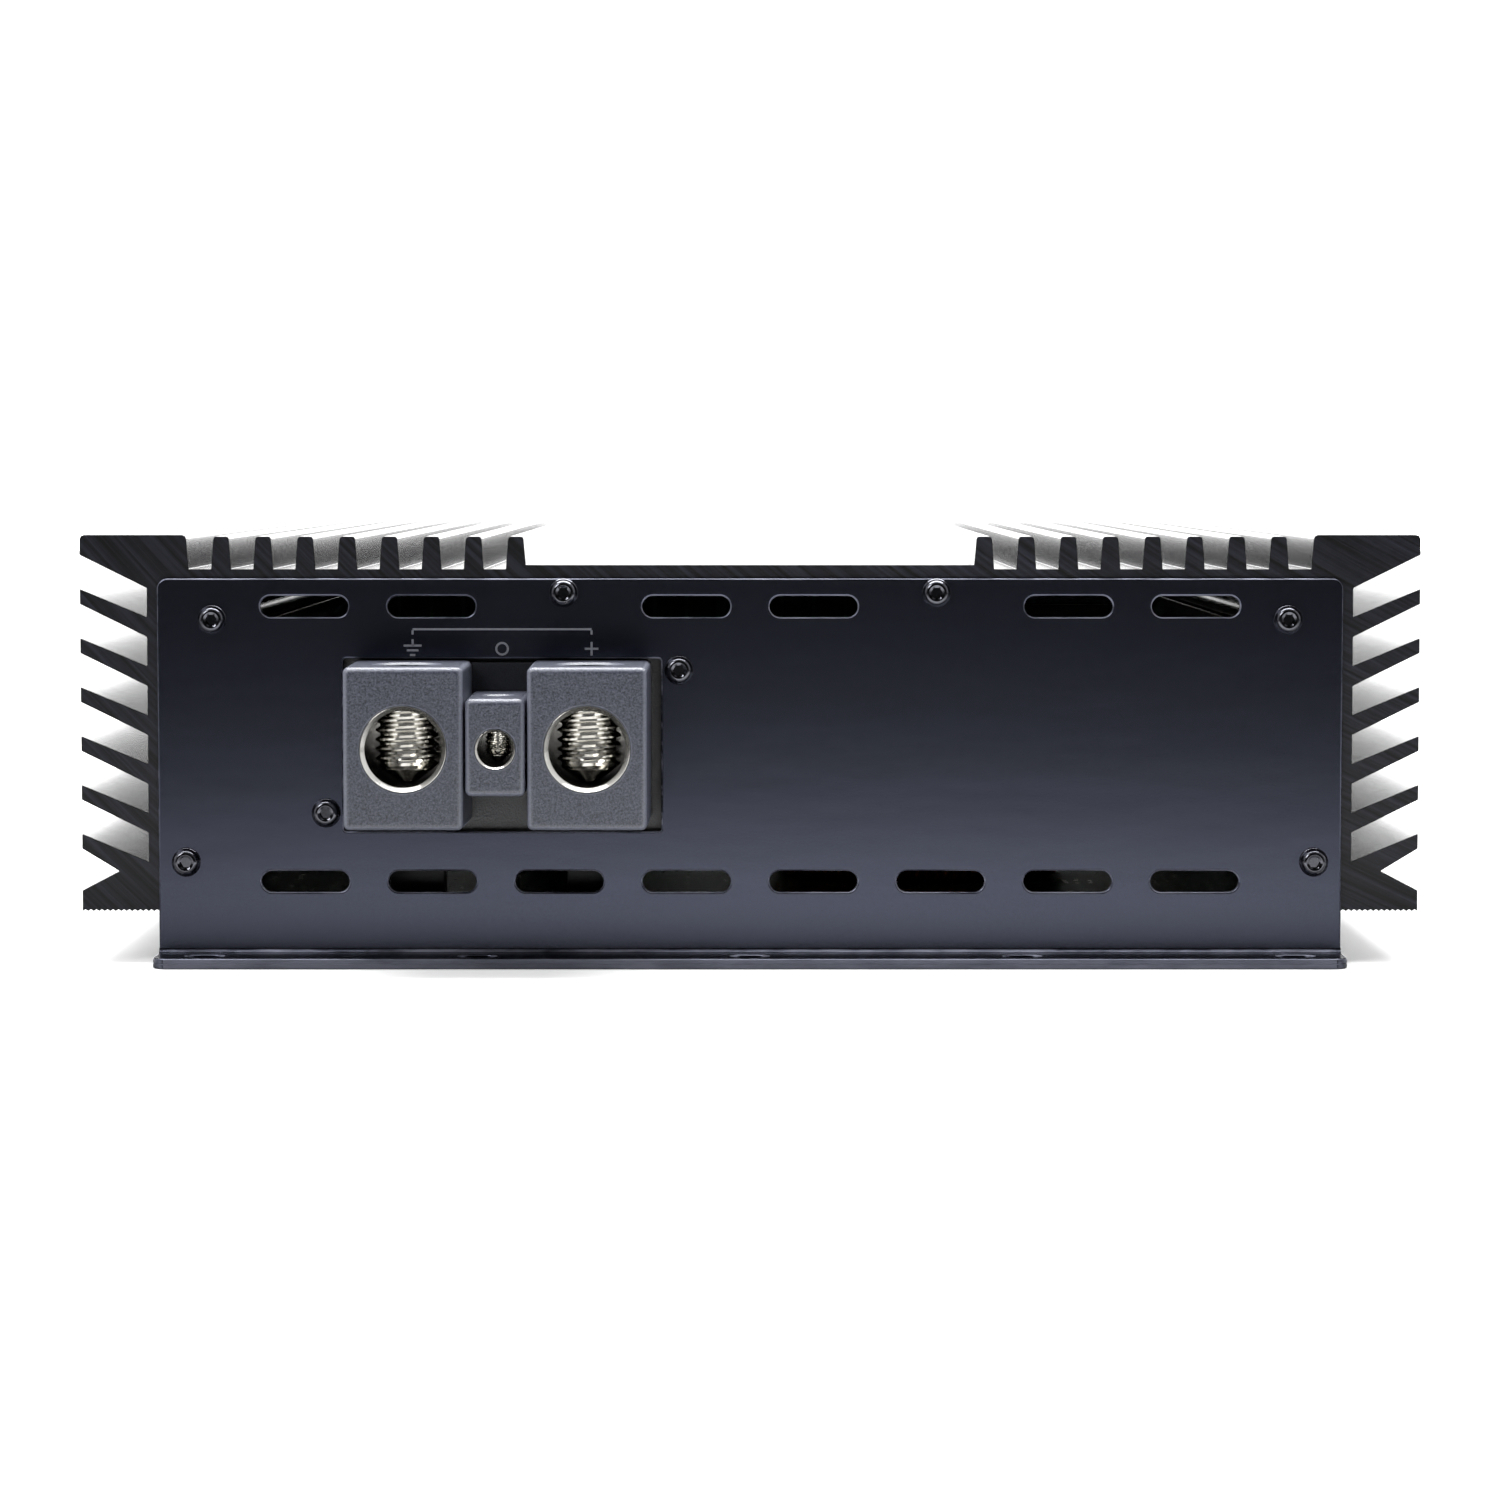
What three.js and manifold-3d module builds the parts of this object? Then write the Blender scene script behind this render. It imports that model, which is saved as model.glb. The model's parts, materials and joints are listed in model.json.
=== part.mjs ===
// Monoblock car amplifier, in millimetres, +Z up.
// Origin: middle of the underside. The power terminals face -Y and the signal end faces +Y.
// Both ends are drawn facing -Y; the signal end group is then turned half a turn about Z.
import * as THREE from "three";
import { mergeVertices } from "three/addons/utils/BufferGeometryUtils.js";
import Module from "manifold-3d";

const wasm = await Module();
wasm.setup();

// ---------------------------------------------------------------- driving dimensions
const overallWidth = 254.8;
const sinkLength = 340;
const sinkTop = 81.5;
const sheet = 1.0; // thickness of the end plates and of the bottom cover

const plateHalfWidth = 112.7;
const plateTop = 73.25;
const plateFace = -(sinkLength / 2 + sheet); // outer face of an end plate
const flangeDepth = 12.2;
const flangeTop = 2 * sheet; // the flange lies on the bottom cover
const bendRadius = 0.8; // inside radius of the bend between plate and flange

const boardTop = 10.6;
const boardThickness = 1.6;
const boardBottom = boardTop - boardThickness;

// Places of the screws that hold an end plate: [x, z], mirrored in x.
const plateScrews = { upper: [102.2, 65.4], lower: [107.4, 19.2], middle: [35.4, 70.5] };
const screwShank = 1.4; // radius
const screwPort = 1.6; // radius of the hole a shank goes into
const screwLength = 9;

// Vent slots of an end plate.
const ventLength = 16.7;
const ventHeight = 4.0;
const ventPitch = 24.2;
const ventRows = [
  { z: 67.9, places: [0, 2, 3] },
  { z: 15.5, places: [0, 1, 2, 3] },
];

// Mounting slots of a flange.
const mountPitch = 51.6;
const mountSlot = { length: 7.5, width: 4.6, fromFace: 6.9 };

const terminalAxis = 42.3; // height of every cable bore

// ---------------------------------------------------------------- materials
const material = (color, roughness, metalness) =>
  new THREE.MeshStandardMaterial({ color, roughness, metalness });
const anodised = material(0x1d1d22, 0.45, 0.6);
const paintedSteel = material(0x23242c, 0.38, 0.3);
const moulding = material(0x4a4d58, 0.6, 0);
const nickel = material(0xd8d4c6, 0.18, 1);
const blackScrew = material(0x0b0b0d, 0.3, 0.6);
const blackPlastic = material(0x141416, 0.5, 0);
const circuitBoard = material(0x17402a, 0.5, 0);
const copper = material(0x9a4f24, 0.4, 0.6);
const ferrite = material(0x2c2f30, 0.7, 0);
const capacitorSleeve = material(0x171a26, 0.4, 0);
const blueLens = material(0x3d6fd8, 0.2, 0);

// ---------------------------------------------------------------- shapes and solids
const polygon = (points) => new THREE.Shape(points.map(([x, y]) => new THREE.Vector2(x, y)));

const rectangle = (x0, y0, x1, y1) =>
  polygon([
    [x0, y0],
    [x1, y0],
    [x1, y1],
    [x0, y1],
  ]);

// A rectangle with rounded corners; `radii` is one radius, or [lower pair, upper pair], 0 for square.
function roundedRectangle(x0, y0, x1, y1, radii, Kind = THREE.Shape) {
  const [low, high] = Array.isArray(radii) ? radii : [radii, radii];
  const corners = [
    [x1 - low, y0 + low, low],
    [x1 - high, y1 - high, high],
    [x0 + high, y1 - high, high],
    [x0 + low, y0 + low, low],
  ];
  const outline = new Kind();
  outline.moveTo(x0 + low, y0);
  corners.forEach(([x, y, radius], quarter) => {
    const start = ((quarter - 1) * Math.PI) / 2;
    if (radius > 0) outline.absarc(x, y, radius, start, start + Math.PI / 2);
    else outline.lineTo(x, y);
  });
  return outline;
}

// A slot with full round ends, longer in x than in y.
function slot(x, y, length, height, Kind = THREE.Path) {
  const r = height / 2;
  const reach = length / 2 - r;
  const outline = new Kind();
  outline.absarc(x + reach, y, r, -Math.PI / 2, Math.PI / 2);
  outline.absarc(x - reach, y, r, Math.PI / 2, 1.5 * Math.PI);
  return outline;
}

function circle(x, y, radius, Kind = THREE.Path) {
  const outline = new Kind();
  outline.absarc(x, y, radius, 0, Math.PI);
  outline.absarc(x, y, radius, Math.PI, 2 * Math.PI);
  return outline;
}

// A clearance hole that a screw head hides.
function screwHole(x, y) {
  const outline = new THREE.Path();
  outline.absarc(x, y, screwShank + 0.5, 0, 2 * Math.PI);
  return outline;
}

function hexagon(acrossFlats) {
  const corner = acrossFlats / Math.sqrt(3);
  const points = [];
  for (let i = 0; i < 6; i++) {
    const angle = (i * Math.PI) / 3;
    points.push([corner * Math.cos(angle), corner * Math.sin(angle)]);
  }
  return polygon(points);
}

function solidOf(geometry) {
  const bare = geometry.clone();
  bare.deleteAttribute("normal");
  bare.deleteAttribute("uv");
  const merged = mergeVertices(bare, 1e-4);
  return new wasm.Manifold(
    new wasm.Mesh({
      numProp: 3,
      vertProperties: merged.getAttribute("position").array,
      triVerts: new Uint32Array(merged.index.array),
    }),
  );
}

function geometryOf(solid) {
  const { vertProperties, triVerts } = solid.getMesh();
  const geometry = new THREE.BufferGeometry();
  geometry.setAttribute("position", new THREE.BufferAttribute(vertProperties, 3));
  geometry.setIndex(new THREE.BufferAttribute(triVerts, 1));
  geometry.computeVertexNormals();
  return geometry;
}

const extrude = (shape, depth, curveSegments, bevel = 0) =>
  new THREE.ExtrudeGeometry(shape, {
    depth: depth - 2 * bevel,
    curveSegments,
    bevelEnabled: bevel > 0,
    bevelSize: bevel,
    bevelThickness: bevel,
    bevelOffset: -bevel,
    bevelSegments: 2,
  }).translate(0, 0, bevel);

// An (x, z) shape extruded from y0 to y1.
const alongY = (shape, y0, y1, segments = 3, bevel = 0) =>
  solidOf(
    extrude(shape, y1 - y0, segments, bevel)
      .rotateX(Math.PI / 2)
      .translate(0, y1, 0),
  );

// An (x, y) shape extruded from z0 to z1.
const alongZ = (shape, z0, z1, segments = 3) =>
  solidOf(extrude(shape, z1 - z0, segments).translate(0, 0, z0));

// A (y, z) shape extruded from x0 to x1.
const yzToWorld = new THREE.Matrix4().set(0, 0, 1, 0, 1, 0, 0, 0, 0, 1, 0, 0, 0, 0, 0, 1);
const alongX = (shape, x0, x1, segments = 3) =>
  solidOf(extrude(shape, x1 - x0, segments).applyMatrix4(yzToWorld).translate(x0, 0, 0));

const box = (x0, y0, z0, x1, y1, z1) => alongZ(rectangle(x0, y0, x1, y1), z0, z1);

const rodY = (x, z, radius, y0, y1, segments = 6) =>
  alongY(circle(x, z, radius, THREE.Shape), y0, y1, segments / 2);

const rodZ = (x, y, radius, z0, z1, segments = 6) =>
  alongZ(circle(x, y, radius, THREE.Shape), z0, z1, segments / 2);

// A body of revolution about +Z from its (radius, height) profile.
const turned = (profile, segments) =>
  solidOf(
    new THREE.LatheGeometry(
      profile.map(([r, z]) => new THREE.Vector2(r, z)),
      segments,
    ).rotateX(Math.PI / 2),
  );

const join = (first, ...others) => others.reduce((sum, other) => sum.add(other), first);
const cut = (first, ...others) => others.reduce((rest, other) => rest.subtract(other), first);

function piece(name, solid, look) {
  const mesh = new THREE.Mesh(geometryOf(solid), look);
  mesh.name = name;
  return mesh;
}

const placed = (mesh, x, y, z) => {
  mesh.position.set(x, y, z);
  return mesh;
};

// ---------------------------------------------------------------- heat sink extrusion
const centreFlatTop = 75.8;
const channelFloor = 75.0;
const topFin = { first: 44.5, pitch: 8, count: 8, top: 81.2, tip: 3.0, root: 3.8, radius: 0.5 };
const sideFin = { pitch: 9.33, count: 6, tipUp: 71.2, tipDown: 68.35, rootUp: 65.9, rootDown: 62.1 };
const outerWall = 114.7;
const innerWall = 110.7;
const footWall = 107.0;
const footUnder = 9.7;
const ceiling = 71.2;

// Points of a quarter round from angle a0 to a1, in degrees.
function arcPoints(x, z, radius, a0, a1, steps = 2) {
  const points = [];
  for (let i = 0; i <= steps; i++) {
    const angle = THREE.MathUtils.degToRad(a0 + ((a1 - a0) * i) / steps);
    points.push([x + radius * Math.cos(angle), z + radius * Math.sin(angle)]);
  }
  return points;
}

function topFinPoints(index) {
  const { first, pitch, top, tip, root, radius } = topFin;
  const x = first + index * pitch;
  return [
    [x - root / 2, index === 0 ? centreFlatTop : channelFloor],
    ...arcPoints(x - tip / 2 + radius, top - radius, radius, 180, 90),
    ...arcPoints(x + tip / 2 - radius, top - radius, radius, 90, 0),
    [x + root / 2, channelFloor],
  ];
}

function cornerBlockPoints() {
  const inner = 107.1;
  const outer = overallWidth / 2;
  const round = 0.8;
  return [
    [inner - 0.4, channelFloor],
    ...arcPoints(inner + round, sinkTop - round, round, 180, 90),
    ...arcPoints(outer - round, sinkTop - round, round, 90, 0),
    [outer, 77.7],
    [outerWall, 71.4],
  ];
}

// A side fin slopes down towards the wall. The lowest one runs into the foot instead.
function sideFinPoints(index) {
  const { pitch, count, tipUp, tipDown, rootUp, rootDown } = sideFin;
  const tip = overallWidth / 2;
  const drop = index * pitch;
  const upper = [
    [outerWall, rootUp - drop],
    [tip, tipUp - drop],
    [tip, tipDown - drop],
  ];
  return index < count - 1 ? [...upper, [outerWall, rootDown - drop]] : upper;
}

// The foot: a notch, a short outer face and a serrated underside.
function footPoints() {
  const outer = overallWidth / 2;
  const inner = plateHalfWidth;
  const teeth = 14;
  const depth = 0.4;
  const pitch = (outer - inner) / teeth;
  const points = [
    [120.3, 17.4],
    [outer, 13.7],
    [outer, footUnder],
  ];
  for (let i = 0; i < teeth; i++) {
    points.push([outer - (i + 0.5) * pitch, footUnder + depth]);
    points.push([outer - (i + 1) * pitch, footUnder]);
  }
  return points;
}

function heatsink() {
  const gusset = 16;
  const outside = [];
  for (let i = 0; i < topFin.count; i++) outside.push(...topFinPoints(i));
  outside.push(...cornerBlockPoints());
  for (let i = 0; i < sideFin.count; i++) outside.push(...sideFinPoints(i));
  outside.push(...footPoints());
  const inside = [
    [plateHalfWidth, sheet],
    [footWall, sheet],
    [footWall, boardBottom],
    [innerWall, boardBottom],
    [innerWall, ceiling - gusset],
    [innerWall - gusset, ceiling],
  ];
  const right = [...outside, ...inside];
  const left = right.map(([x, z]) => [-x, z]).reverse();
  const half = sinkLength / 2;
  let body = alongY(polygon([...left, ...right].reverse()), -half, half);

  // Screw ports: C-shaped channels along the whole extrusion, open towards the inside.
  const portWall = 3.4;
  const mouth = { length: 6, width: 1.6 };
  const openings = [
    { place: plateScrews.upper, angle: -135 },
    { place: plateScrews.lower, angle: 180 },
    { place: plateScrews.middle, angle: -90 },
  ];
  for (const side of [-1, 1]) {
    for (const { place, angle } of openings) {
      const [x, z] = place;
      const channel = new THREE.Shape(
        rectangle(0, -mouth.width / 2, mouth.length, mouth.width / 2)
          .getPoints()
          .map((p) => p.rotateAround(new THREE.Vector2(), THREE.MathUtils.degToRad(angle)))
          .map((p) => new THREE.Vector2(side * (p.x + x), p.y + z)),
      );
      body = join(body, rodY(side * x, z, portWall, -half, half, 10));
      body = cut(body, rodY(side * x, z, screwPort, -half - 1, half + 1));
      body = cut(body, alongY(channel, -half - 1, half + 1));
    }
  }
  for (const [x, y] of coverScrewPlaces()) body = cut(body, rodZ(x, y, 1.5, 0, 8));
  return piece("heatsink", body, anodised);
}

// ---------------------------------------------------------------- end plates and bottom cover
function plateOutline() {
  const bendTop = flangeTop + bendRadius;
  return roundedRectangle(-plateHalfWidth, bendTop, plateHalfWidth, plateTop, [0, 2]);
}

function ventHoles() {
  const holes = [];
  for (const { z, places } of ventRows) {
    for (const side of [-1, 1]) {
      for (const place of places) holes.push(slot(side * ventPitch * (place + 0.5), z, ventLength, ventHeight));
    }
  }
  return holes;
}

function plateScrewHoles() {
  const holes = [];
  for (const side of [-1, 1]) {
    for (const [x, z] of Object.values(plateScrews)) holes.push(screwHole(side * x, z));
  }
  return holes;
}

const mountSlots = (y) =>
  [-2, -1, 0, 1, 2].map((i) => slot(i * mountPitch, y, mountSlot.length, mountSlot.width));

// An upright sheet with a rounded bend and a mounting flange that turns outwards.
function endPlate(name, openings) {
  const upright = plateOutline();
  upright.holes.push(...ventHoles(), ...plateScrewHoles(), ...openings);

  const bend = new THREE.Shape();
  const bendY = plateFace - bendRadius;
  const bendZ = flangeTop + bendRadius;
  bend.absarc(bendY, bendZ, bendRadius + sheet, -Math.PI / 2, 0, false);
  bend.absarc(bendY, bendZ, bendRadius, 0, -Math.PI / 2, true);

  const flange = roundedRectangle(-plateHalfWidth, plateFace - flangeDepth, plateHalfWidth, bendY, [3, 0]);
  flange.holes.push(...mountSlots(plateFace - mountSlot.fromFace));

  const solid = join(
    alongY(upright, plateFace, plateFace + sheet),
    alongX(bend, -plateHalfWidth, plateHalfWidth, 3),
    alongZ(flange, flangeTop - sheet, flangeTop),
  );
  return piece(name, solid, paintedSteel);
}

function coverScrewPlaces() {
  const places = [];
  for (const x of [-109.6, 109.6]) for (const y of [-120, 120]) places.push([x, y]);
  return places;
}

function bottomCover() {
  const reach = flangeDepth - plateFace;
  const outline = roundedRectangle(-plateHalfWidth, -reach, plateHalfWidth, reach, 3);
  const slotY = mountSlot.fromFace - plateFace;
  outline.holes.push(...mountSlots(-slotY), ...mountSlots(slotY));
  let solid = alongZ(outline, 0, sheet);
  const countersink = [
    [0, -0.5],
    [3.2, -0.5],
    [1.6, 1.1],
    [0, 1.1],
  ];
  for (const [x, y] of coverScrewPlaces()) solid = cut(solid, turned(countersink, 12).translate([x, y, 0]));
  return piece("bottom_cover", solid, paintedSteel);
}

// ---------------------------------------------------------------- fasteners
// Button-head screw with a hexagon socket; the underside of its head is at the origin, head towards -Y.
function buttonScrewSolid() {
  const head = 2.75;
  const height = 1.9;
  const profile = [
    [0, -screwLength],
    [screwShank * 0.6, -screwLength],
    [screwShank, -screwLength + 1],
    [screwShank, 0],
    [head, 0],
    [head, 0.5],
    [head * 0.82, 1.4],
    [head * 0.55, height],
    [0, height],
  ];
  const socket = alongZ(hexagon(2), height - 1.2, height + 1);
  return cut(turned(profile, 10), socket).rotate([90, 0, 0]);
}
const buttonScrew = buttonScrewSolid();

function plateScrewSet(prefix) {
  const group = new THREE.Group();
  for (const [row, [x, z]] of Object.entries(plateScrews)) {
    for (const [hand, side] of [["left", -1], ["right", 1]]) {
      const screw = piece(`${prefix}_screw_${row}_${hand}`, buttonScrew, blackScrew);
      group.add(placed(screw, side * x, plateFace, z));
    }
  }
  return group;
}

// Countersunk screws, driven up through the bottom cover into the heat sink walls.
function coverScrews() {
  const profile = [
    [0, 0.02],
    [2.5, 0.02],
    [1.35, sheet + 0.15],
    [1.35, 6.5],
    [0.8, 7.5],
    [0, 7.5],
  ];
  const solid = cut(turned(profile, 10), alongZ(hexagon(2), -0.5, 0.9));
  const group = new THREE.Group();
  coverScrewPlaces().forEach(([x, y], i) => {
    group.add(placed(piece(`cover_screw_${i + 1}`, solid, blackScrew), x, y, 0));
  });
  return group;
}

// ---------------------------------------------------------------- screw terminals
// Sizes of one terminal. The barrel is a metal block with a cable bore along Y and a threaded hole from above.
const bigTerminal = {
  blockHalfWidth: 11.3,
  blockDown: 15.2,
  blockUp: 15.4,
  barrelHalfWidth: 8.9,
  barrelHalfHeight: 10.9,
  noseRadius: 8.0,
  boreRadius: 7.15,
  screwRadius: 5.95,
  screwHeight: 13,
  padHeight: 2.7,
  socket: 6,
  segments: 24,
};
const remoteTerminal = {
  blockHalfWidth: 5.75,
  blockDown: 8.9,
  blockUp: 9.6,
  barrelHalfWidth: 4.0,
  barrelHalfHeight: 6.2,
  noseRadius: 3.7,
  boreRadius: 3.3,
  screwRadius: 2.45,
  screwHeight: 8,
  padHeight: 1.3,
  socket: 2.5,
  segments: 16,
};
const speakerTerminal = {
  blockHalfWidth: 9.0,
  blockDown: 12,
  blockUp: 12.5,
  barrelHalfWidth: 6.6,
  barrelHalfHeight: 8.4,
  noseRadius: 5.7,
  boreRadius: 5.0,
  screwRadius: 3.95,
  screwHeight: 10,
  padHeight: 2.0,
  socket: 4,
  segments: 20,
};

const powerTerminals = [
  { name: "gnd", x: -64.1, size: bigTerminal },
  { name: "remote", x: -47.1, size: remoteTerminal },
  { name: "positive", x: -30.1, size: bigTerminal },
];
const speakerTerminals = [
  { name: "speaker_negative", x: -84, size: speakerTerminal },
  { name: "speaker_positive", x: -64, size: speakerTerminal },
];

const blockFront = plateFace - 26;
const screwAxisY = plateFace - 14; // set screws stand this far out from the plate
const frontWall = 3.4; // plastic in front of the barrel block
const fit = 0.3; // clearance of a barrel in its pocket
const padLift = 0.35; // height of a closed pressure pad above the lowest line of the bore
const baseFront = plateFace + 3;
const baseBack = baseFront + 3;
const blockRounding = 1.2;

// The moulding: a base plate behind the end plate and one block for each terminal.
function terminalHousing(name, terminals, base, ears) {
  const first = terminals[0];
  const last = terminals[terminals.length - 1];
  let solid = alongY(rectangle(base.x0, base.z0, base.x1, base.z1), baseFront, baseBack);
  for (const [x, z] of ears) {
    solid = join(solid, rodY(x, z, 3.6, plateFace + sheet, baseBack, 8));
    solid = cut(solid, rodY(x, z, screwPort, plateFace - 1, baseBack + 1));
  }
  const web = rectangle(first.x, terminalAxis - first.size.blockDown, last.x, terminalAxis + first.size.blockUp);
  solid = join(solid, alongY(web, plateFace - 0.2, baseBack));
  for (const { x, size } of terminals) {
    const w = size.blockHalfWidth;
    const block = roundedRectangle(x - w, terminalAxis - size.blockDown, x + w, terminalAxis + size.blockUp, blockRounding);
    solid = join(solid, alongY(block, blockFront, baseBack, 1, blockRounding * 0.95));
  }
  for (const { x, size } of terminals) {
    const w = size.barrelHalfWidth + fit;
    const h = size.barrelHalfHeight + fit;
    const pocket = rectangle(x - w, terminalAxis - h, x + w, terminalAxis + h);
    solid = cut(
      solid,
      alongY(pocket, blockFront + frontWall, baseBack + 1),
      rodY(x, terminalAxis, size.noseRadius + fit / 2, blockFront - 1, blockFront + frontWall + 1, size.segments / 2),
      rodZ(x, screwAxisY, size.screwRadius + fit, terminalAxis, sinkTop, size.segments / 2),
    );
  }
  return piece(name, solid, moulding);
}

// Metal block with a round nose, a bevelled cable bore and a leg down to the circuit board.
function barrel({ name, x, size }) {
  const { barrelHalfWidth: w, barrelHalfHeight: h, boreRadius: bore, noseRadius: nose, segments } = size;
  const back = -155;
  const blockStart = blockFront + frontWall + fit / 2;
  const boreEnd = screwAxisY + size.screwRadius + 4;
  const bevel = (nose - bore) * 0.7;
  const body = join(
    alongY(rectangle(-w, -h, w, h), blockStart, baseBack + 2),
    rodY(0, 0, nose, blockFront, blockStart, segments / 2),
    alongY(rectangle(-w * 0.6, -h, w * 0.6, 0), baseBack + 2, back),
    box(-w * 0.6, -160, boardTop - terminalAxis, w * 0.6, back, 0),
  );
  const mouth = turned(
    [
      [0, -1],
      [bore + bevel + 1, -1],
      [bore, bevel],
      [bore, boreEnd - blockFront],
      [0, boreEnd - blockFront],
    ],
    segments,
  )
    .rotate([-90, 0, 0])
    .translate([0, blockFront, 0]);
  const tapped = rodZ(0, screwAxisY, size.screwRadius + fit / 2, 0, h + 1, segments / 2);
  return placed(piece(`${name}_barrel`, cut(body, mouth, tapped), nickel), x, 0, terminalAxis);
}

// A pressure pad: the cone that bears on the cable. A stub on its back turns in the end of the set screw.
function pressurePad({ name, x, size }) {
  const r = size.screwRadius;
  const profile = [
    [0, 0],
    [r * 0.3, 0],
    [r * 0.82, size.padHeight],
    [r * 0.3, size.padHeight],
    [r * 0.3, size.padHeight * 1.8],
    [0, size.padHeight * 1.8],
  ];
  const bottom = terminalAxis - size.boreRadius + padLift;
  return placed(piece(`${name}_pressure_pad`, turned(profile, 12), nickel), x, screwAxisY, bottom);
}

function setScrew({ name, x, size }) {
  const { screwRadius: r, screwHeight: height, padHeight, segments } = size;
  const chamfer = r * 0.12;
  const profile = [
    [0, 0],
    [r - chamfer, 0],
    [r, chamfer],
    [r, height - chamfer],
    [r - chamfer, height],
    [0, height],
  ];
  const socket = alongZ(hexagon(size.socket), height * 0.5, height + 1);
  const swivel = rodZ(0, 0, r * 0.3 + 0.2, -1, padHeight, 6);
  const bottom = terminalAxis - size.boreRadius + padLift + padHeight + 0.05;
  const solid = cut(turned(profile, segments), socket, swivel);
  return placed(piece(`${name}_set_screw`, solid, nickel), x, screwAxisY, bottom);
}

function terminalHardware(terminals) {
  const group = new THREE.Group();
  for (const terminal of terminals) group.add(barrel(terminal), pressurePad(terminal), setScrew(terminal));
  return group;
}

// ---------------------------------------------------------------- power end
const powerBase = { x0: -85.5, z0: 22.5, x1: -8.7, z1: 60.6 };
const powerEars = [
  [-80.7, 28.6],
  [-13.5, 55.8],
];
const powerWindow = { x0: -77.3, z0: 25.1, x1: -16.9, z1: 58.0 };

function powerEnd() {
  const { x0, z0, x1, z1 } = powerWindow;
  const openings = [roundedRectangle(x0, z0, x1, z1, 0.5, THREE.Path)];
  for (const [x, z] of powerEars) openings.push(screwHole(x, z));
  const group = new THREE.Group();
  group.add(endPlate("power_end_plate", openings));
  group.add(terminalHousing("power_terminal_housing", powerTerminals, powerBase, powerEars));
  group.add(terminalHardware(powerTerminals));
  group.add(plateScrewSet("power_plate"));
  powerEars.forEach(([x, z], i) => {
    const screw = piece(`power_housing_screw_${i + 1}`, buttonScrew, blackScrew);
    group.add(placed(screw, x, plateFace, z));
  });
  return group;
}

// ---------------------------------------------------------------- signal end
const panelAxis = 42; // height of the jacks and controls
const controlBoardFront = -158;
const jackPlaces = [-32, -15];
const switchPlace = 5;
const knobPlaces = { gain: 22, low_pass: 38, subsonic: 54, bass_boost: 70 };
const portPlace = 86;
const lightPlace = 99;
const speakerBase = { x0: -97, z0: 27, x1: -51, z1: 58 };
const speakerWindow = { x0: -93.4, z0: 29.8, x1: -54.6, z1: 55.2 };

// Upright board with the potentiometer bodies soldered on it.
function controlBoard() {
  let solid = box(-42, controlBoardFront, boardTop, 103, controlBoardFront + boardThickness, 62);
  for (const x of Object.values(knobPlaces)) {
    solid = join(solid, box(x - 5, -166, panelAxis - 5, x + 5, controlBoardFront, panelAxis + 5));
    solid = cut(solid, rodY(x, panelAxis, 3.2, -167, -161, 8));
  }
  return piece("control_board", solid, circuitBoard);
}

// Knob on its shaft, axis along Y, with a pointer groove across its front.
function controlKnob(name, x) {
  const cap = rodY(0, 0, 6, plateFace - 9, plateFace - 1, 12);
  const shaft = rodY(0, 0, 3, plateFace - 2, -162, 8);
  const groove = box(-0.6, plateFace - 10, 1, 0.6, plateFace - 8.2, 7);
  return placed(piece(`${name}_knob`, cut(join(cap, shaft), groove), blackPlastic), x, 0, panelAxis);
}

function jackHousing() {
  let solid = box(-41, plateFace + sheet, panelAxis - 10, -6, controlBoardFront, panelAxis + 10);
  for (const x of jackPlaces) {
    solid = join(solid, rodY(x, panelAxis, 6.4, plateFace - 2.5, plateFace + 2, 10));
    solid = cut(solid, rodY(x, panelAxis, 4.4, plateFace - 4, controlBoardFront - 3, 8));
  }
  return piece("rca_jack_housing", solid, blackPlastic);
}

function jackShell(name, x) {
  const shell = rodY(0, 0, 4.15, plateFace - 10, controlBoardFront - 3.2, 10);
  const pinHole = rodY(0, 0, 1.7, plateFace - 11, plateFace + 2, 6);
  return placed(piece(name, cut(shell, pinHole), nickel), x, 0, panelAxis);
}

function phaseSwitch() {
  const group = new THREE.Group();
  const body = cut(
    box(-7, plateFace + sheet, -4.5, 7, controlBoardFront, 4.5),
    box(-3.8, plateFace, -1.9, 3.8, plateFace + 5, 1.9),
  );
  const slider = box(-1.5, plateFace - 2.2, -1.6, 1.5, plateFace + 4.6, 1.6);
  group.add(piece("phase_switch_body", body, blackPlastic));
  group.add(placed(piece("phase_switch_slider", slider, blackPlastic), -1.8, 0, 0));
  group.position.set(switchPlace, 0, panelAxis);
  return group;
}

function remotePort() {
  const shell = box(-6.5, plateFace - 0.6, -6, 6.5, controlBoardFront, 6);
  const opening = box(-4.8, plateFace - 2, -3.6, 4.8, plateFace + 8, 3.4);
  const key = box(-2, plateFace - 2, -4.8, 2, plateFace + 8, 0);
  return placed(piece("remote_level_port", cut(shell, opening, key), blackPlastic), portPlace, 0, panelAxis);
}

function statusLight() {
  const profile = [
    [0, 0],
    [1.9, 0],
    [1.9, 9],
    [1.45, 9],
    [1.45, 13.4],
    [0.9, 14.5],
    [0, 14.7],
  ];
  const solid = turned(profile, 12).rotate([90, 0, 0]);
  return placed(piece("status_light", solid, blueLens), lightPlace, controlBoardFront, panelAxis);
}

function signalOpenings() {
  const speaker = speakerWindow;
  const openings = [roundedRectangle(speaker.x0, speaker.z0, speaker.x1, speaker.z1, 0.5, THREE.Path)];
  for (const x of jackPlaces) openings.push(circle(x, panelAxis, 6.8));
  for (const x of Object.values(knobPlaces)) openings.push(circle(x, panelAxis, 3.5));
  openings.push(circle(lightPlace, panelAxis, 1.8));
  const frame = (x, w, h) => roundedRectangle(x - w, panelAxis - h, x + w, panelAxis + h, 0.3, THREE.Path);
  openings.push(frame(switchPlace, 3.8, 1.9), frame(portPlace, 6.8, 6.3));
  return openings;
}

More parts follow.
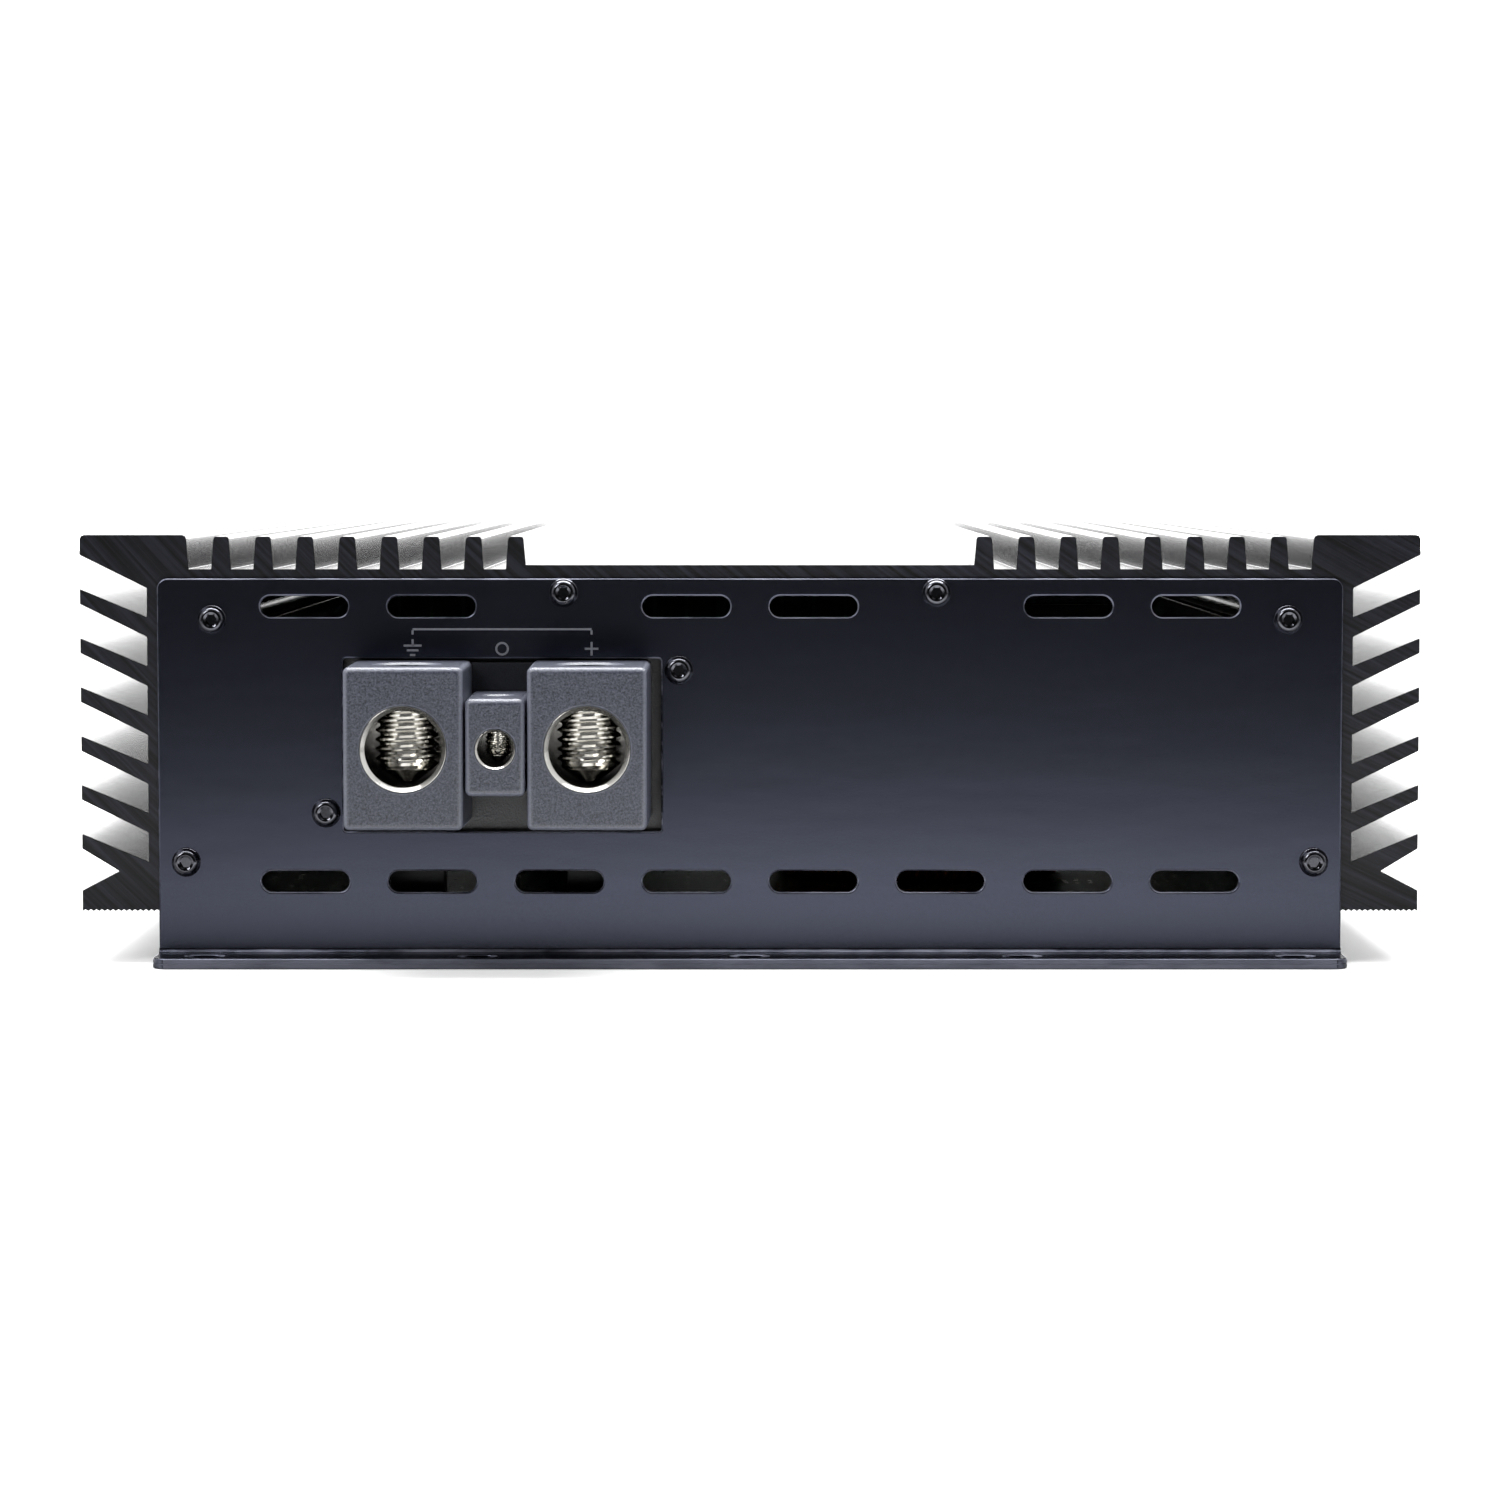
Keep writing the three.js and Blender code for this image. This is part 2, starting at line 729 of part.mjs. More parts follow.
function signalEnd() {
  const group = new THREE.Group();
  group.add(endPlate("signal_end_plate", signalOpenings()));
  group.add(terminalHousing("speaker_terminal_housing", speakerTerminals, speakerBase, []));
  group.add(terminalHardware(speakerTerminals));
  group.add(plateScrewSet("signal_plate"));
  group.add(controlBoard(), jackHousing());
  group.add(jackShell("rca_jack_left", jackPlaces[0]), jackShell("rca_jack_right", jackPlaces[1]));
  for (const [name, x] of Object.entries(knobPlaces)) group.add(controlKnob(name, x));
  group.add(phaseSwitch(), remotePort(), statusLight());
  group.rotation.z = Math.PI;
  return group;
}

// ---------------------------------------------------------------- electronics inside
// A ring core wound with wire, standing on the circuit board.
function ringCore(name, x, y, outer, inner, height, look) {
  const round = 3;
  const corner = (r, z, a0, a1) => arcPoints(r, z, round, a0, a1, 1);
  const profile = [
    ...corner(inner + round, round, 180, 270),
    ...corner(outer - round, round, 270, 360),
    ...corner(outer - round, height - round, 0, 90),
    ...corner(inner + round, height - round, 90, 180),
  ];
  profile.push(profile[0]);
  return placed(piece(name, turned(profile, 18), look), x, y, boardTop);
}

function capacitor(name, x, y) {
  const radius = 11;
  const height = 42;
  const profile = [
    [0, 0],
    [radius, 0],
    [radius, 2],
    [radius - 0.8, 2.6],
    [radius - 0.8, 3.4],
    [radius, 4],
    [radius, height - 1],
    [radius - 1, height],
    [0, height],
  ];
  return placed(piece(name, turned(profile, 14), capacitorSleeve), x, y, boardTop);
}

// A power transistor flat against the side wall, its three legs bent clear of the screw port.
function transistor(name, side, y) {
  const back = innerWall - 0.1;
  const front = back - 4.8;
  let solid = box(front, -7.8, 27, back, 7.8, 48);
  const leg = [
    [front + 1.8, 27.5],
    [front + 1.8, 25.4],
    [101.6, 25.4],
    [101.6, boardTop],
    [102.6, boardTop],
    [102.6, 24.4],
    [front + 2.8, 24.4],
    [front + 2.8, 27.5],
  ];
  for (const offset of [-5.45, 0, 5.45]) {
    solid = join(solid, alongY(polygon([...leg].reverse()), offset - 0.6, offset + 0.6));
  }
  if (side < 0) solid = solid.rotate([0, 0, 180]);
  return placed(piece(name, solid, blackPlastic), 0, y, 0);
}

function electronics() {
  const group = new THREE.Group();
  const board = box(-110, -165, boardBottom, 110, 165, boardTop);
  group.add(piece("main_circuit_board", board, circuitBoard));
  group.add(ringCore("power_transformer", 35, -95, 30, 10, 26, copper));
  group.add(ringCore("output_inductor", 20, 85, 22, 8, 20, ferrite));
  group.add(capacitor("capacitor_front", -40, -60), capacitor("capacitor_rear", -40, -20));
  group.add(transistor("transistor_left_front", -1, -80), transistor("transistor_left_rear", -1, 60));
  group.add(transistor("transistor_right_front", 1, -80), transistor("transistor_right_rear", 1, 60));
  return group;
}

// ---------------------------------------------------------------- the amplifier
const amplifier = new THREE.Group();
amplifier.add(heatsink(), bottomCover(), coverScrews());
amplifier.add(powerEnd(), signalEnd(), electronics());

export default amplifier;
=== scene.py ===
"""Looks for the car amplifier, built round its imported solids. Lengths are in metres."""
import json
import math
from collections import namedtuple

import bmesh
import bpy
from mathutils import Matrix, Vector
from mathutils.geometry import tessellate_polygon


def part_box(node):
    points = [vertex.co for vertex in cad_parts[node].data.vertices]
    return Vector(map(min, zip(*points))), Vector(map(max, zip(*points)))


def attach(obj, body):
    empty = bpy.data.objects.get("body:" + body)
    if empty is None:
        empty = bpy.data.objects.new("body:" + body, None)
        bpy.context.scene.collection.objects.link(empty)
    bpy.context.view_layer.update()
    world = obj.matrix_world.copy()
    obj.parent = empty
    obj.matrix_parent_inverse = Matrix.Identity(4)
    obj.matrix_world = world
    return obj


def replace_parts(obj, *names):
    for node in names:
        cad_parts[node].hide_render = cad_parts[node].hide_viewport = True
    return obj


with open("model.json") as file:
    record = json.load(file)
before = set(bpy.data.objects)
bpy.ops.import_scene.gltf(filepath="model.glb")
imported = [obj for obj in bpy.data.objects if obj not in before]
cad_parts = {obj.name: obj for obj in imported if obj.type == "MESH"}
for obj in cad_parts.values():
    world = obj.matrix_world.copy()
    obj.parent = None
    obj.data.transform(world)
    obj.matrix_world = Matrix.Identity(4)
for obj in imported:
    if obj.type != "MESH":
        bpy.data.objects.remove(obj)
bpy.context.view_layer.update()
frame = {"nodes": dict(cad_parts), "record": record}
nodes = frame["nodes"]
MM = 0.001


def mm(*sizes):
    """Sizes given in millimetres, in metres."""
    return tuple(size * MM for size in sizes)


# Main places, read from the solids.
PLATE_LOW, PLATE_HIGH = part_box("power_end_plate")
SHEET = 1.0 * MM
PLATE_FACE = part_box("heatsink")[0].y - SHEET  # outer face of the power end plate
BLOCK_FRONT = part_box("power_terminal_housing")[0].y  # foremost face of the terminal blocks
TERMINAL_AXIS = 42.3 * MM  # height of the cable bores
PANEL_AXIS = 42.0 * MM  # height of the jacks and controls
FRONT_WALL = 3.4 * MM  # plastic in front of a barrel's block
FLANGE_TOP = 2 * SHEET  # each end plate's flange lies on the bottom cover
BEND = 0.8 * MM  # inside radius of the bend between plate and flange

# Openings in the sheet metal. Places are (x, z) on the end plates and (x, y) on the cover.
VENT_PITCH = 24.2 * MM
VENT_ROWS = ((67.9 * MM, (0, 2, 3)), (15.5 * MM, (0, 1, 2, 3)))
VENT_SLOT = mm(16.7, 4.0)  # length and height
PLATE_SCREWS = (mm(102.2, 65.4), mm(107.4, 19.2), mm(35.4, 70.5))
MOUNT_PITCH = 51.6 * MM
MOUNT_SLOT = mm(7.5, 4.6)
MOUNT_FROM_FACE = 6.9 * MM
COVER_SCREWS = [mm(x, y) for x in (-109.6, 109.6) for y in (-120, 120)]
EARS = (mm(-80.7, 28.6), mm(-13.5, 55.8))
SCREW_HOLE = 1.6 * MM  # radius of every hole for a button screw
KNOBS = ("gain", "low_pass", "subsonic", "bass_boost")
JACKS = {"rca_jack_left": "white_insulator", "rca_jack_right": "red_insulator"}

# One screw terminal: its plastic block, its metal barrel and its set screw.
Terminal = namedtuple("Terminal", "half_width down up nose bore access pitch socket")
BIG = Terminal(*mm(11.3, 15.2, 15.4, 8.0, 7.15, 6.25, 1.75, 6))
SMALL = Terminal(*mm(5.75, 8.9, 9.6, 3.7, 3.3, 2.75, 0.8, 2.5))
MIDDLE = Terminal(*mm(9.0, 12.0, 12.5, 5.7, 5.0, 4.25, 1.25, 4))
TERMINALS = {
    "gnd": BIG,
    "remote": SMALL,
    "positive": BIG,
    "speaker_negative": MIDDLE,
    "speaker_positive": MIDDLE,
}

HALF_TURN = Matrix.Rotation(math.pi, 4, "Z")
Z_TO_MINUS_Y = Matrix.Rotation(math.radians(90), 4, "X")
JOIN = "UNION"
CUT = "DIFFERENCE"


# ------------------------------------------------------------------ shader building
class Shader:
    """A node material, or a world. add() makes a node and fills its inputs with values or other outputs."""

    def __init__(self, name, library="materials", surface="Principled BSDF"):
        self.material = getattr(bpy.data, library).new(name)
        self.material.use_nodes = True
        self.tree = self.material.node_tree
        self.surface = self.tree.nodes[surface]

    def add(self, kind, settings=None, **inputs):
        node = self.tree.nodes.new("ShaderNode" + kind)
        for key, value in (settings or {}).items():
            setattr(node, key, value)
        for name, value in inputs.items():
            self.feed(node, name.replace("_", " "), value)
        return node

    def feed(self, node, socket, value):
        target = node.inputs[socket]
        if isinstance(value, bpy.types.NodeSocket):
            self.tree.links.new(value, target)
        else:
            target.default_value = value

    def set(self, **inputs):
        for name, value in inputs.items():
            self.feed(self.surface, name.replace("_", " "), value)

    def position(self):
        return self.add("TexCoord").outputs["Object"]

    def stretched(self, scale):
        """Object coordinates scaled by a different factor along each axis."""
        return self.add("Mapping", Vector=self.position(), Scale=scale).outputs["Vector"]

    def noise(self, scale, detail=2.0, roughness=0.5, vector=None):
        vector = vector or self.position()
        node = self.add("TexNoise", Vector=vector, Scale=scale, Detail=detail, Roughness=roughness)
        return node.outputs["Fac"]

    def math(self, operation, first, second=0.0):
        node = self.add("Math", {"operation": operation})
        self.feed(node, 0, first)
        self.feed(node, 1, second)
        return node.outputs[0]

    def remap(self, value, low, high, start=0.0, end=1.0):
        """Takes start..end to low..high, and holds the ends."""
        node = self.add("MapRange", Value=value, From_Min=start, From_Max=end, To_Min=low, To_Max=high)
        return node.outputs["Result"]

    def mix(self, factor, first, second):
        node = self.add("Mix", {"data_type": "RGBA"})
        self.feed(node, 0, factor)
        self.feed(node, 6, first)
        self.feed(node, 7, second)
        return node.outputs[2]

    def bump(self, height, distance, strength=1.0, normal=None):
        node = self.add("Bump", Height=height, Distance=distance, Strength=strength)
        if normal:
            self.feed(node, "Normal", normal)
        return node.outputs["Normal"]


def edge_mask(s):
    """1 on rounded edges, 0 on faces that lie square to an axis."""
    split = s.add("SeparateXYZ", Vector=s.add("TexCoord").outputs["Normal"])
    parts = [s.math("ABSOLUTE", split.outputs[axis]) for axis in "XYZ"]
    largest = s.math("MAXIMUM", s.math("MAXIMUM", parts[0], parts[1]), parts[2])
    return s.remap(largest, 1.0, 0.0, 0.88, 0.985)


def rgb(red, green, blue):
    """Linear colour from 0-255 display values."""
    return (*((c / 255) ** 2.2 for c in (red, green, blue)), 1)


def two_tone(name, noise, colours, roughness, bump, **more):
    """A plain finish: one noise runs between two colours and makes the roughness and the fine relief."""
    s = Shader(name)
    grain = s.noise(*noise)
    s.set(
        Base_Color=s.mix(grain, *colours),
        Roughness=s.remap(grain, *roughness),
        Normal=s.bump(grain, *bump),
        **more,
    )
    return s.material


def anodised_aluminium():
    """Black anodising: long die lines along Y, saw streaks on the cut ends."""
    s = Shader("anodised_aluminium")
    die_lines = s.noise(1.0, 3.0, 0.6, s.stretched((2600, 6, 2600)))
    split = s.add("SeparateXYZ", Vector=s.position())
    # Polar coordinates about the axis of the saw that cut the bar to length.
    saw_x, saw_z = 0.35, 0.50
    across = s.math("SUBTRACT", split.outputs["X"], saw_x)
    up = s.math("SUBTRACT", split.outputs["Z"], saw_z)
    squares = s.math("ADD", s.math("MULTIPLY", across, across), s.math("MULTIPLY", up, up))
    radius = s.math("MULTIPLY", s.math("SQRT", squares), 1150)
    angle = s.math("MULTIPLY", s.math("ARCTAN2", across, up), 9)
    polar = s.add("CombineXYZ", X=radius, Y=angle).outputs["Vector"]
    streaks = s.remap(s.noise(1.0, 4.0, 0.6, polar), 0.0, 1.0, 0.38, 0.66)
    facing = s.add("SeparateXYZ", Vector=s.add("TexCoord").outputs["Normal"]).outputs["Y"]
    on_end = s.math("GREATER_THAN", s.math("ABSOLUTE", facing), 0.95)
    cut_face = s.mix(streaks, rgb(3, 3, 5), rgb(44, 45, 55))
    skin = s.mix(s.noise(120.0, 4.0), rgb(10, 10, 13), rgb(16, 16, 20))
    lines = s.bump(die_lines, 0.000005, 0.4)
    roughness = s.remap(s.noise(300.0, 3.0), 0.19, 0.23)
    s.set(
        Base_Color=s.mix(on_end, skin, cut_face),
        Roughness=s.math("ADD", roughness, s.math("MULTIPLY", on_end, 0.18)),
        Specular_IOR_Level=s.remap(on_end, 0.6, 0.46),
        Normal=s.bump(s.math("MULTIPLY", streaks, on_end), 0.00003, 0.6, lines),
    )
    return s.material


def painted_steel():
    """Blue-black gloss paint with a fine orange peel; a painted highlight makes it paler on the rounded
    edges and along the bend.
    """
    s = Shader("painted_steel")
    peel = s.noise(2200.0, 2.0, 0.5)
    waves = s.noise(1.0, 2.0, 0.5, s.stretched((45, 160, 160)))
    cloud = s.noise(25.0, 2.0)
    level = s.bump(waves, 0.00006, 0.35)
    streaks = s.remap(s.noise(1.0, 3.0, 0.6, s.stretched((70, 400, 400))), 0.15, 1.0, 0.38, 0.62)
    # Painted highlight on the rounded edges and the bend, in streaks; it drops to 0.3 on the sheared side
    # edges.
    place = s.add("SeparateXYZ", Vector=s.position())
    across = s.math("ABSOLUTE", place.outputs["X"])
    less_highlight_at_sides = s.remap(across, 1.0, 0.3, 110.5 * MM, 112 * MM)
    edge_highlight = s.math("MULTIPLY", s.math("MULTIPLY", edge_mask(s), streaks), less_highlight_at_sides)
    # The flanges' front edges get a streaky painted highlight as well.
    flange_front_lit = s.math("GREATER_THAN", s.math("ABSOLUTE", place.outputs["Y"]), -PLATE_LOW.y - 0.1 * MM)
    edge_highlight = s.math("MAXIMUM", edge_highlight, s.math("MULTIPLY", flange_front_lit, s.remap(streaks, 0.5, 0.9)))
    paint = s.mix(cloud, rgb(8, 9, 13), rgb(11, 12, 17))
    s.set(
        # The painted highlight mixes the paint towards a pale grey.
        Base_Color=s.mix(edge_highlight, paint, rgb(128, 130, 142)),
        IOR=1.65,
        Specular_IOR_Level=0.8,
        Specular_Tint=rgb(214, 221, 255),
        Roughness=s.remap(peel, 0.2, 0.26),
        Normal=s.bump(peel, 0.000008, 0.4, level),
    )
    return s.material


def terminal_moulding():
    """Slate grey moulding with a spark-eroded grain."""
    s = Shader("terminal_moulding")
    grain = s.remap(s.noise(2600.0, 2.0, 0.7), 0.0, 1.0, 0.34, 0.66)
    speck = s.noise(1500.0, 2.0)
    colour = s.mix(grain, rgb(32, 35, 44), rgb(86, 90, 105))
    colour = s.mix(s.remap(speck, 0.0, 0.3), colour, rgb(56, 59, 71))
    # Painted highlight: the rounded edges are lightened towards a pale grey.
    colour = s.mix(s.math("MULTIPLY", edge_mask(s), 0.35), colour, rgb(148, 152, 166))
    # Painted shade: the recessed web between the blocks is made darker than the blocks, for the shade that
    # falls between them.
    depth = s.math("ABSOLUTE", s.add("SeparateXYZ", Vector=s.position()).outputs["Y"])
    colour = s.mix(s.math("LESS_THAN", depth, -PLATE_FACE + 1.0 * MM), colour, rgb(22, 24, 31))
    s.set(
        Base_Color=colour,
        IOR=1.6,
        Specular_IOR_Level=0.7,
        Roughness=s.remap(grain, 0.3, 0.42),
        Normal=s.bump(grain, 0.00004, 0.7),
    )
    return s.material


def nickel_plate():
    """Bright nickel with faint turning marks and a little tarnish."""
    s = Shader("nickel_plate")
    marks = s.noise(1.0, 2.0, 0.5, s.stretched((400, 400, 6000)))
    tarnish = s.noise(260.0, 3.0)
    s.set(
        Base_Color=s.mix(tarnish, rgb(238, 237, 234), rgb(206, 204, 198)),
        Metallic=1.0,
        Roughness=s.remap(tarnish, 0.1, 0.2),
        Normal=s.bump(marks, 0.000006, 0.4),
    )
    return s.material


def black_screw():
    """Black oxide steel with a polished look."""
    colours = (rgb(78, 79, 84), rgb(104, 105, 111))
    return two_tone("black_screw", (1800.0, 3.0), colours, (0.1, 0.17), (0.000006, 0.4), Metallic=1.0)


def black_plastic(name, paler=0):
    """Grained black moulding."""
    colours = [rgb(level + paler, level + paler, blue + paler) for level, blue in ((18, 20), (32, 35))]
    return two_tone(name, (3000.0, 2.0), colours, (0.38, 0.55), (0.00002, 0.5))


def circuit_board():
    """Green solder mask over tracks, with rows of tinned pads."""
    s = Shader("circuit_board")
    place = s.position()
    tracks = s.add("TexBrick", Vector=place, Scale=60.0, Mortar_Size=0.03, Mortar_Smooth=0.2)
    pads = s.add("TexVoronoi", {"feature": "F1"}, Vector=place, Scale=380.0, Randomness=0.25)
    pad = s.math("LESS_THAN", pads.outputs["Distance"], 0.18)
    rows = s.math("GREATER_THAN", s.noise(90.0, 1.0), 0.56)
    tinned = s.math("MULTIPLY", pad, rows)
    mask = s.mix(tracks.outputs["Fac"], rgb(16, 52, 32), rgb(24, 70, 44))
    s.set(
        Base_Color=s.mix(tinned, mask, rgb(150, 148, 140)),
        Metallic=tinned,
        Roughness=s.remap(tinned, 0.42, 0.25),
        Normal=s.bump(tracks.outputs["Fac"], 0.00003, 0.5),
    )
    return s.material


def copper_winding():
    """Enamelled wire; the turns themselves are in the mesh."""
    s = Shader("copper_winding")
    shade = s.noise(220.0, 3.0)
    s.set(
        Base_Color=s.mix(shade, rgb(176, 92, 42), rgb(132, 60, 26)),
        Metallic=0.75,
        Roughness=s.remap(shade, 0.24, 0.4),
        Normal=s.bump(s.noise(2000.0), 0.00001, 0.4),
    )
    return s.material


def capacitor_sleeve():
    """Dark shrink sleeve with one pale polarity stripe and a bare metal top, drawn round the can's axis."""
    s = Shader("capacitor_sleeve")
    ripple = s.noise(300.0, 3.0)
    split = s.add("SeparateXYZ", Vector=s.position())
    angle = s.math("ARCTAN2", split.outputs["Y"], split.outputs["X"])
    stripe = s.math("LESS_THAN", s.math("ABSOLUTE", angle), 0.32)
    top = s.math("GREATER_THAN", split.outputs["Z"], 41.4 * MM)
    side = s.mix(stripe, rgb(24, 28, 52), rgb(120, 122, 130))
    s.set(
        Base_Color=s.mix(top, side, rgb(150, 150, 152)),
        Metallic=s.math("MULTIPLY", top, 0.8),
        Roughness=s.remap(ripple, 0.22, 0.4),
        Normal=s.bump(ripple, 0.00006, 0.4),
    )
    return s.material


def tinted_plastic(name, red, green, blue):
    """Coloured insulating plastic."""
    colours = (rgb(red, green, blue), rgb(red * 0.8, green * 0.8, blue * 0.8))
    return two_tone(name, (1500.0, 2.0), colours, (0.3, 0.44), (0.00001, 0.4))


def light_lens():
    """Clear blue plastic that lets part of the light through."""
    colours = (rgb(60, 110, 225), rgb(100, 150, 240))
    clear = {"Transmission_Weight": 0.35}
    return two_tone("light_lens", (700.0, 2.0), colours, (0.08, 0.16), (0.00001, 0.2), **clear)


def printed_ink():
    """Pale screen-printed ink, slightly uneven."""
    colours = (rgb(150, 152, 160), rgb(124, 126, 134))
    return two_tone("printed_ink", (2600.0, 3.0), colours, (0.45, 0.6), (0.000005, 0.4))


LOOKS = {
    "anodised_aluminium": anodised_aluminium(),
    "painted_steel": painted_steel(),
    "terminal_moulding": terminal_moulding(),
    "nickel_plate": nickel_plate(),
    "black_screw": black_screw(),
    "black_plastic": black_plastic("black_plastic"),
    "component_black": black_plastic("component_black", 6),
    "circuit_board": circuit_board(),
    "copper_winding": copper_winding(),
    "capacitor_sleeve": capacitor_sleeve(),
    "light_lens": light_lens(),
    "printed_ink": printed_ink(),
    "red_insulator": tinted_plastic("red_insulator", 176, 28, 26),
    "white_insulator": tinted_plastic("white_insulator", 214, 212, 204),
}
NODE_SLOT = {row["node"]: row["material_slot"] for row in frame["record"]["subparts"]}


# ------------------------------------------------------------------ mesh helpers
def dress_node(name, bevel, segments):
    """Gives a CAD node its finish, joins its coplanar triangles and rounds its sharp edges."""
    node = nodes[name]
    node.data.materials.clear()
    node.data.materials.append(LOOKS[NODE_SLOT[name]])
    weld = node.modifiers.new("Weld", "WELD")
    weld.merge_threshold = 0.002 * MM
    flat = node.modifiers.new("Flat", "DECIMATE")
    flat.decimate_type = "DISSOLVE"
    flat.angle_limit = math.radians(0.6)
    if not bevel:
        smooth_by_angle(node)
        return
    edges = node.modifiers.new("Edges", "BEVEL")
    edges.width = bevel
    edges.segments = segments
    edges.limit_method = "ANGLE"
    edges.angle_limit = math.radians(40)
    edges.use_clamp_overlap = False
    for polygon in node.data.polygons:
        polygon.use_smooth = True
    level = node.modifiers.new("Level", "WEIGHTED_NORMAL")
    level.weight = 100


def smooth_by_angle(obj, angle=38):
    """Smooth shading that keeps edges sharper than the angle."""
    for polygon in obj.data.polygons:
        polygon.use_smooth = True
    split = obj.modifiers.new("Sharp", "EDGE_SPLIT")
    split.split_angle = math.radians(angle)
    split.use_edge_sharp = False


def new_piece(name, mesh, body, look, place=(0, 0, 0), replaces=(), smooth=38):
    piece = bpy.data.objects.new(name, mesh)
    bpy.context.scene.collection.objects.link(piece)
    piece.location = place
    if not mesh.materials:
        mesh.materials.append(LOOKS[look])
    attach(piece, body)
    if replaces:
        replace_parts(piece, *replaces)
    smooth_by_angle(piece, smooth)
    return piece


def mesh_from(name, vertices, faces):
    mesh = bpy.data.meshes.new(name)
    mesh.from_pydata([tuple(v) for v in vertices], [], faces)
    mesh.update()
    return mesh


def walls(first, count, rows):
    """Quads that join successive loops of count vertices, the first loop starting at vertex first."""
    quads = []
    for a in range(first, first + (rows - 1) * count, count):
        b = a + count
        for i in range(count):
            j = (i + 1) % count
            quads.append((a + i, a + j, b + j, b + i))
    return quads


def lathe(name, profile, segments=48):
    """A closed body turned about Z from (radius, height) points; the first and last lie on the axis."""
    rings = profile[1:-1]
    vertices = [(0, 0, profile[0][1])]
    for radius, height in rings:
        for i in range(segments):
            turn = 2 * math.pi * i / segments
            vertices.append((radius * math.cos(turn), radius * math.sin(turn), height))
    vertices.append((0, 0, profile[-1][1]))
    last = len(vertices) - 1
    faces = []
    for i in range(segments):
        j = (i + 1) % segments
        faces.append((0, 1 + j, 1 + i))
        for ring in range(len(rings) - 1):
            a = 1 + ring * segments
            b = a + segments
            faces.append((a + i, a + j, b + j, b + i))
        top = 1 + (len(rings) - 1) * segments
        faces.append((top + i, top + j, last))
    return mesh_from(name, vertices, faces)


def ring(name, profile_at, steps):
    """A closed ring about Z. profile_at(share of a turn) gives its section as (radius, height) points."""
    vertices = []
    for i in range(steps):
        turn = 2 * math.pi * i / steps
        section = profile_at(i / steps)
        vertices += [(r * math.cos(turn), r * math.sin(turn), h) for r, h in section]
    count = len(vertices) // steps
    faces = []
    for i in range(steps):
        near = i * count
        far = (i + 1) % steps * count
        for k in range(count):
            m = (k + 1) % count
            faces.append((near + k, far + k, far + m, near + m))
    return mesh_from(name, vertices, faces)


def plain_ring(name, inner, outer, low, high, steps=64):
    section = [(inner, low), (outer, low), (outer, high), (inner, high)]
    return ring(name, lambda share: section, steps)


def prism(name, outline, low, high):
    """An outline in X and Y extruded from low to high."""
    count = len(outline)
    vertices = [(a, b, level) for level in (low, high) for a, b in outline]
    faces = [tuple(reversed(range(count))), tuple(range(count, 2 * count))]
    return mesh_from(name, vertices, faces + walls(0, count, 2))


def drum(radius, low, high):
    """The profile of a plain cylinder, for lathe and rod_y."""
    return [(0, low), (radius, low), (radius, high), (0, high)]


def circle_points(radius, segments=64):
    turns = [2 * math.pi * i / segments for i in range(segments)]
    return [(radius * math.cos(turn), radius * math.sin(turn)) for turn in turns]


def hexagon_points(across_flats):
    return circle_points(across_flats / math.sqrt(3), 6)


def arc(centre, radius, start, end, steps=6):
    """Points of an arc between two angles in degrees, both ends included."""
    turns = [math.radians(start + (end - start) * i / steps) for i in range(steps + 1)]
    return [(centre[0] + radius * math.cos(turn), centre[1] + radius * math.sin(turn)) for turn in turns]


def box_mesh(name, low, high, rounding=0.0, segments=4, draft=0.0):
    """A box with its edges rounded. draft narrows the end at low y by that much on each side."""
    shape = bmesh.new()
    bmesh.ops.create_cube(shape, size=1)
    size = [b - a for a, b in zip(low, high)]
    middle = [(a + b) / 2 for a, b in zip(low, high)]
    bmesh.ops.scale(shape, vec=size, verts=shape.verts)
    for vertex in shape.verts:
        if vertex.co.y < 0:
            vertex.co.x -= math.copysign(draft, vertex.co.x)
            vertex.co.z -= math.copysign(draft, vertex.co.z)
    bmesh.ops.translate(shape, vec=middle, verts=shape.verts)
    if rounding:
        bmesh.ops.bevel(
            shape, geom=shape.edges[:], offset=rounding, segments=segments, profile=0.5, affect="EDGES"
        )
    mesh = bpy.data.meshes.new(name)
    shape.to_mesh(mesh)
    shape.free()
    return mesh


def combine(name, mesh, steps):
    """Joins and cuts solids: steps are (JOIN or CUT, mesh)."""
    body = bpy.data.objects.new(name, mesh)
    bpy.context.scene.collection.objects.link(body)
    tools = []
    for operation, tool_mesh in steps:
        tool = bpy.data.objects.new("tool", tool_mesh)
        bpy.context.scene.collection.objects.link(tool)
        tools.append(tool)
        step = body.modifiers.new("Step", "BOOLEAN")
        step.operation = operation
        step.object = tool
        step.solver = "EXACT"
    bpy.context.view_layer.update()
    made = bpy.data.meshes.new_from_object(body.evaluated_get(bpy.context.evaluated_depsgraph_get()))
    made.name = name
    for obj in (body, *tools):
        bpy.data.objects.remove(obj)
    return made


def merged(name, meshes):
    """Several separate closed bodies as one mesh."""
    shape = bmesh.new()
    for mesh in meshes:
        shape.from_mesh(mesh)
    mesh = bpy.data.meshes.new(name)
    shape.to_mesh(mesh)
    shape.free()
    return mesh


def moved(mesh, offset, turn=None):
    """The mesh turned, then moved."""
    if turn is not None:
        mesh.transform(turn)
    mesh.transform(Matrix.Translation(offset))
    return mesh


def rod_y(name, profile, x, y, z, segments=64):
    """A turned body whose axis points out of the end plate: heights are counted from y towards -Y."""
    return moved(lathe(name, profile, segments), (x, y, z), Z_TO_MINUS_Y)


def middle_of(name):
    low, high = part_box(name)
    return (low + high) / 2


def foot_of(name):
    """The middle of a node's underside."""
    middle = middle_of(name)
    return (middle.x, middle.y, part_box(name)[0].z)


# Each end is drawn facing -Y; the signal end is then turned half round with everything on it.
def end_turn(node):
    return Matrix.Identity(4) if middle_of(node).y < 0 else HALF_TURN


def local_x(node):
    """A node's place along its own end, seen with that end facing -Y."""
    middle = middle_of(node)
    return middle.x if middle.y < 0 else -middle.x


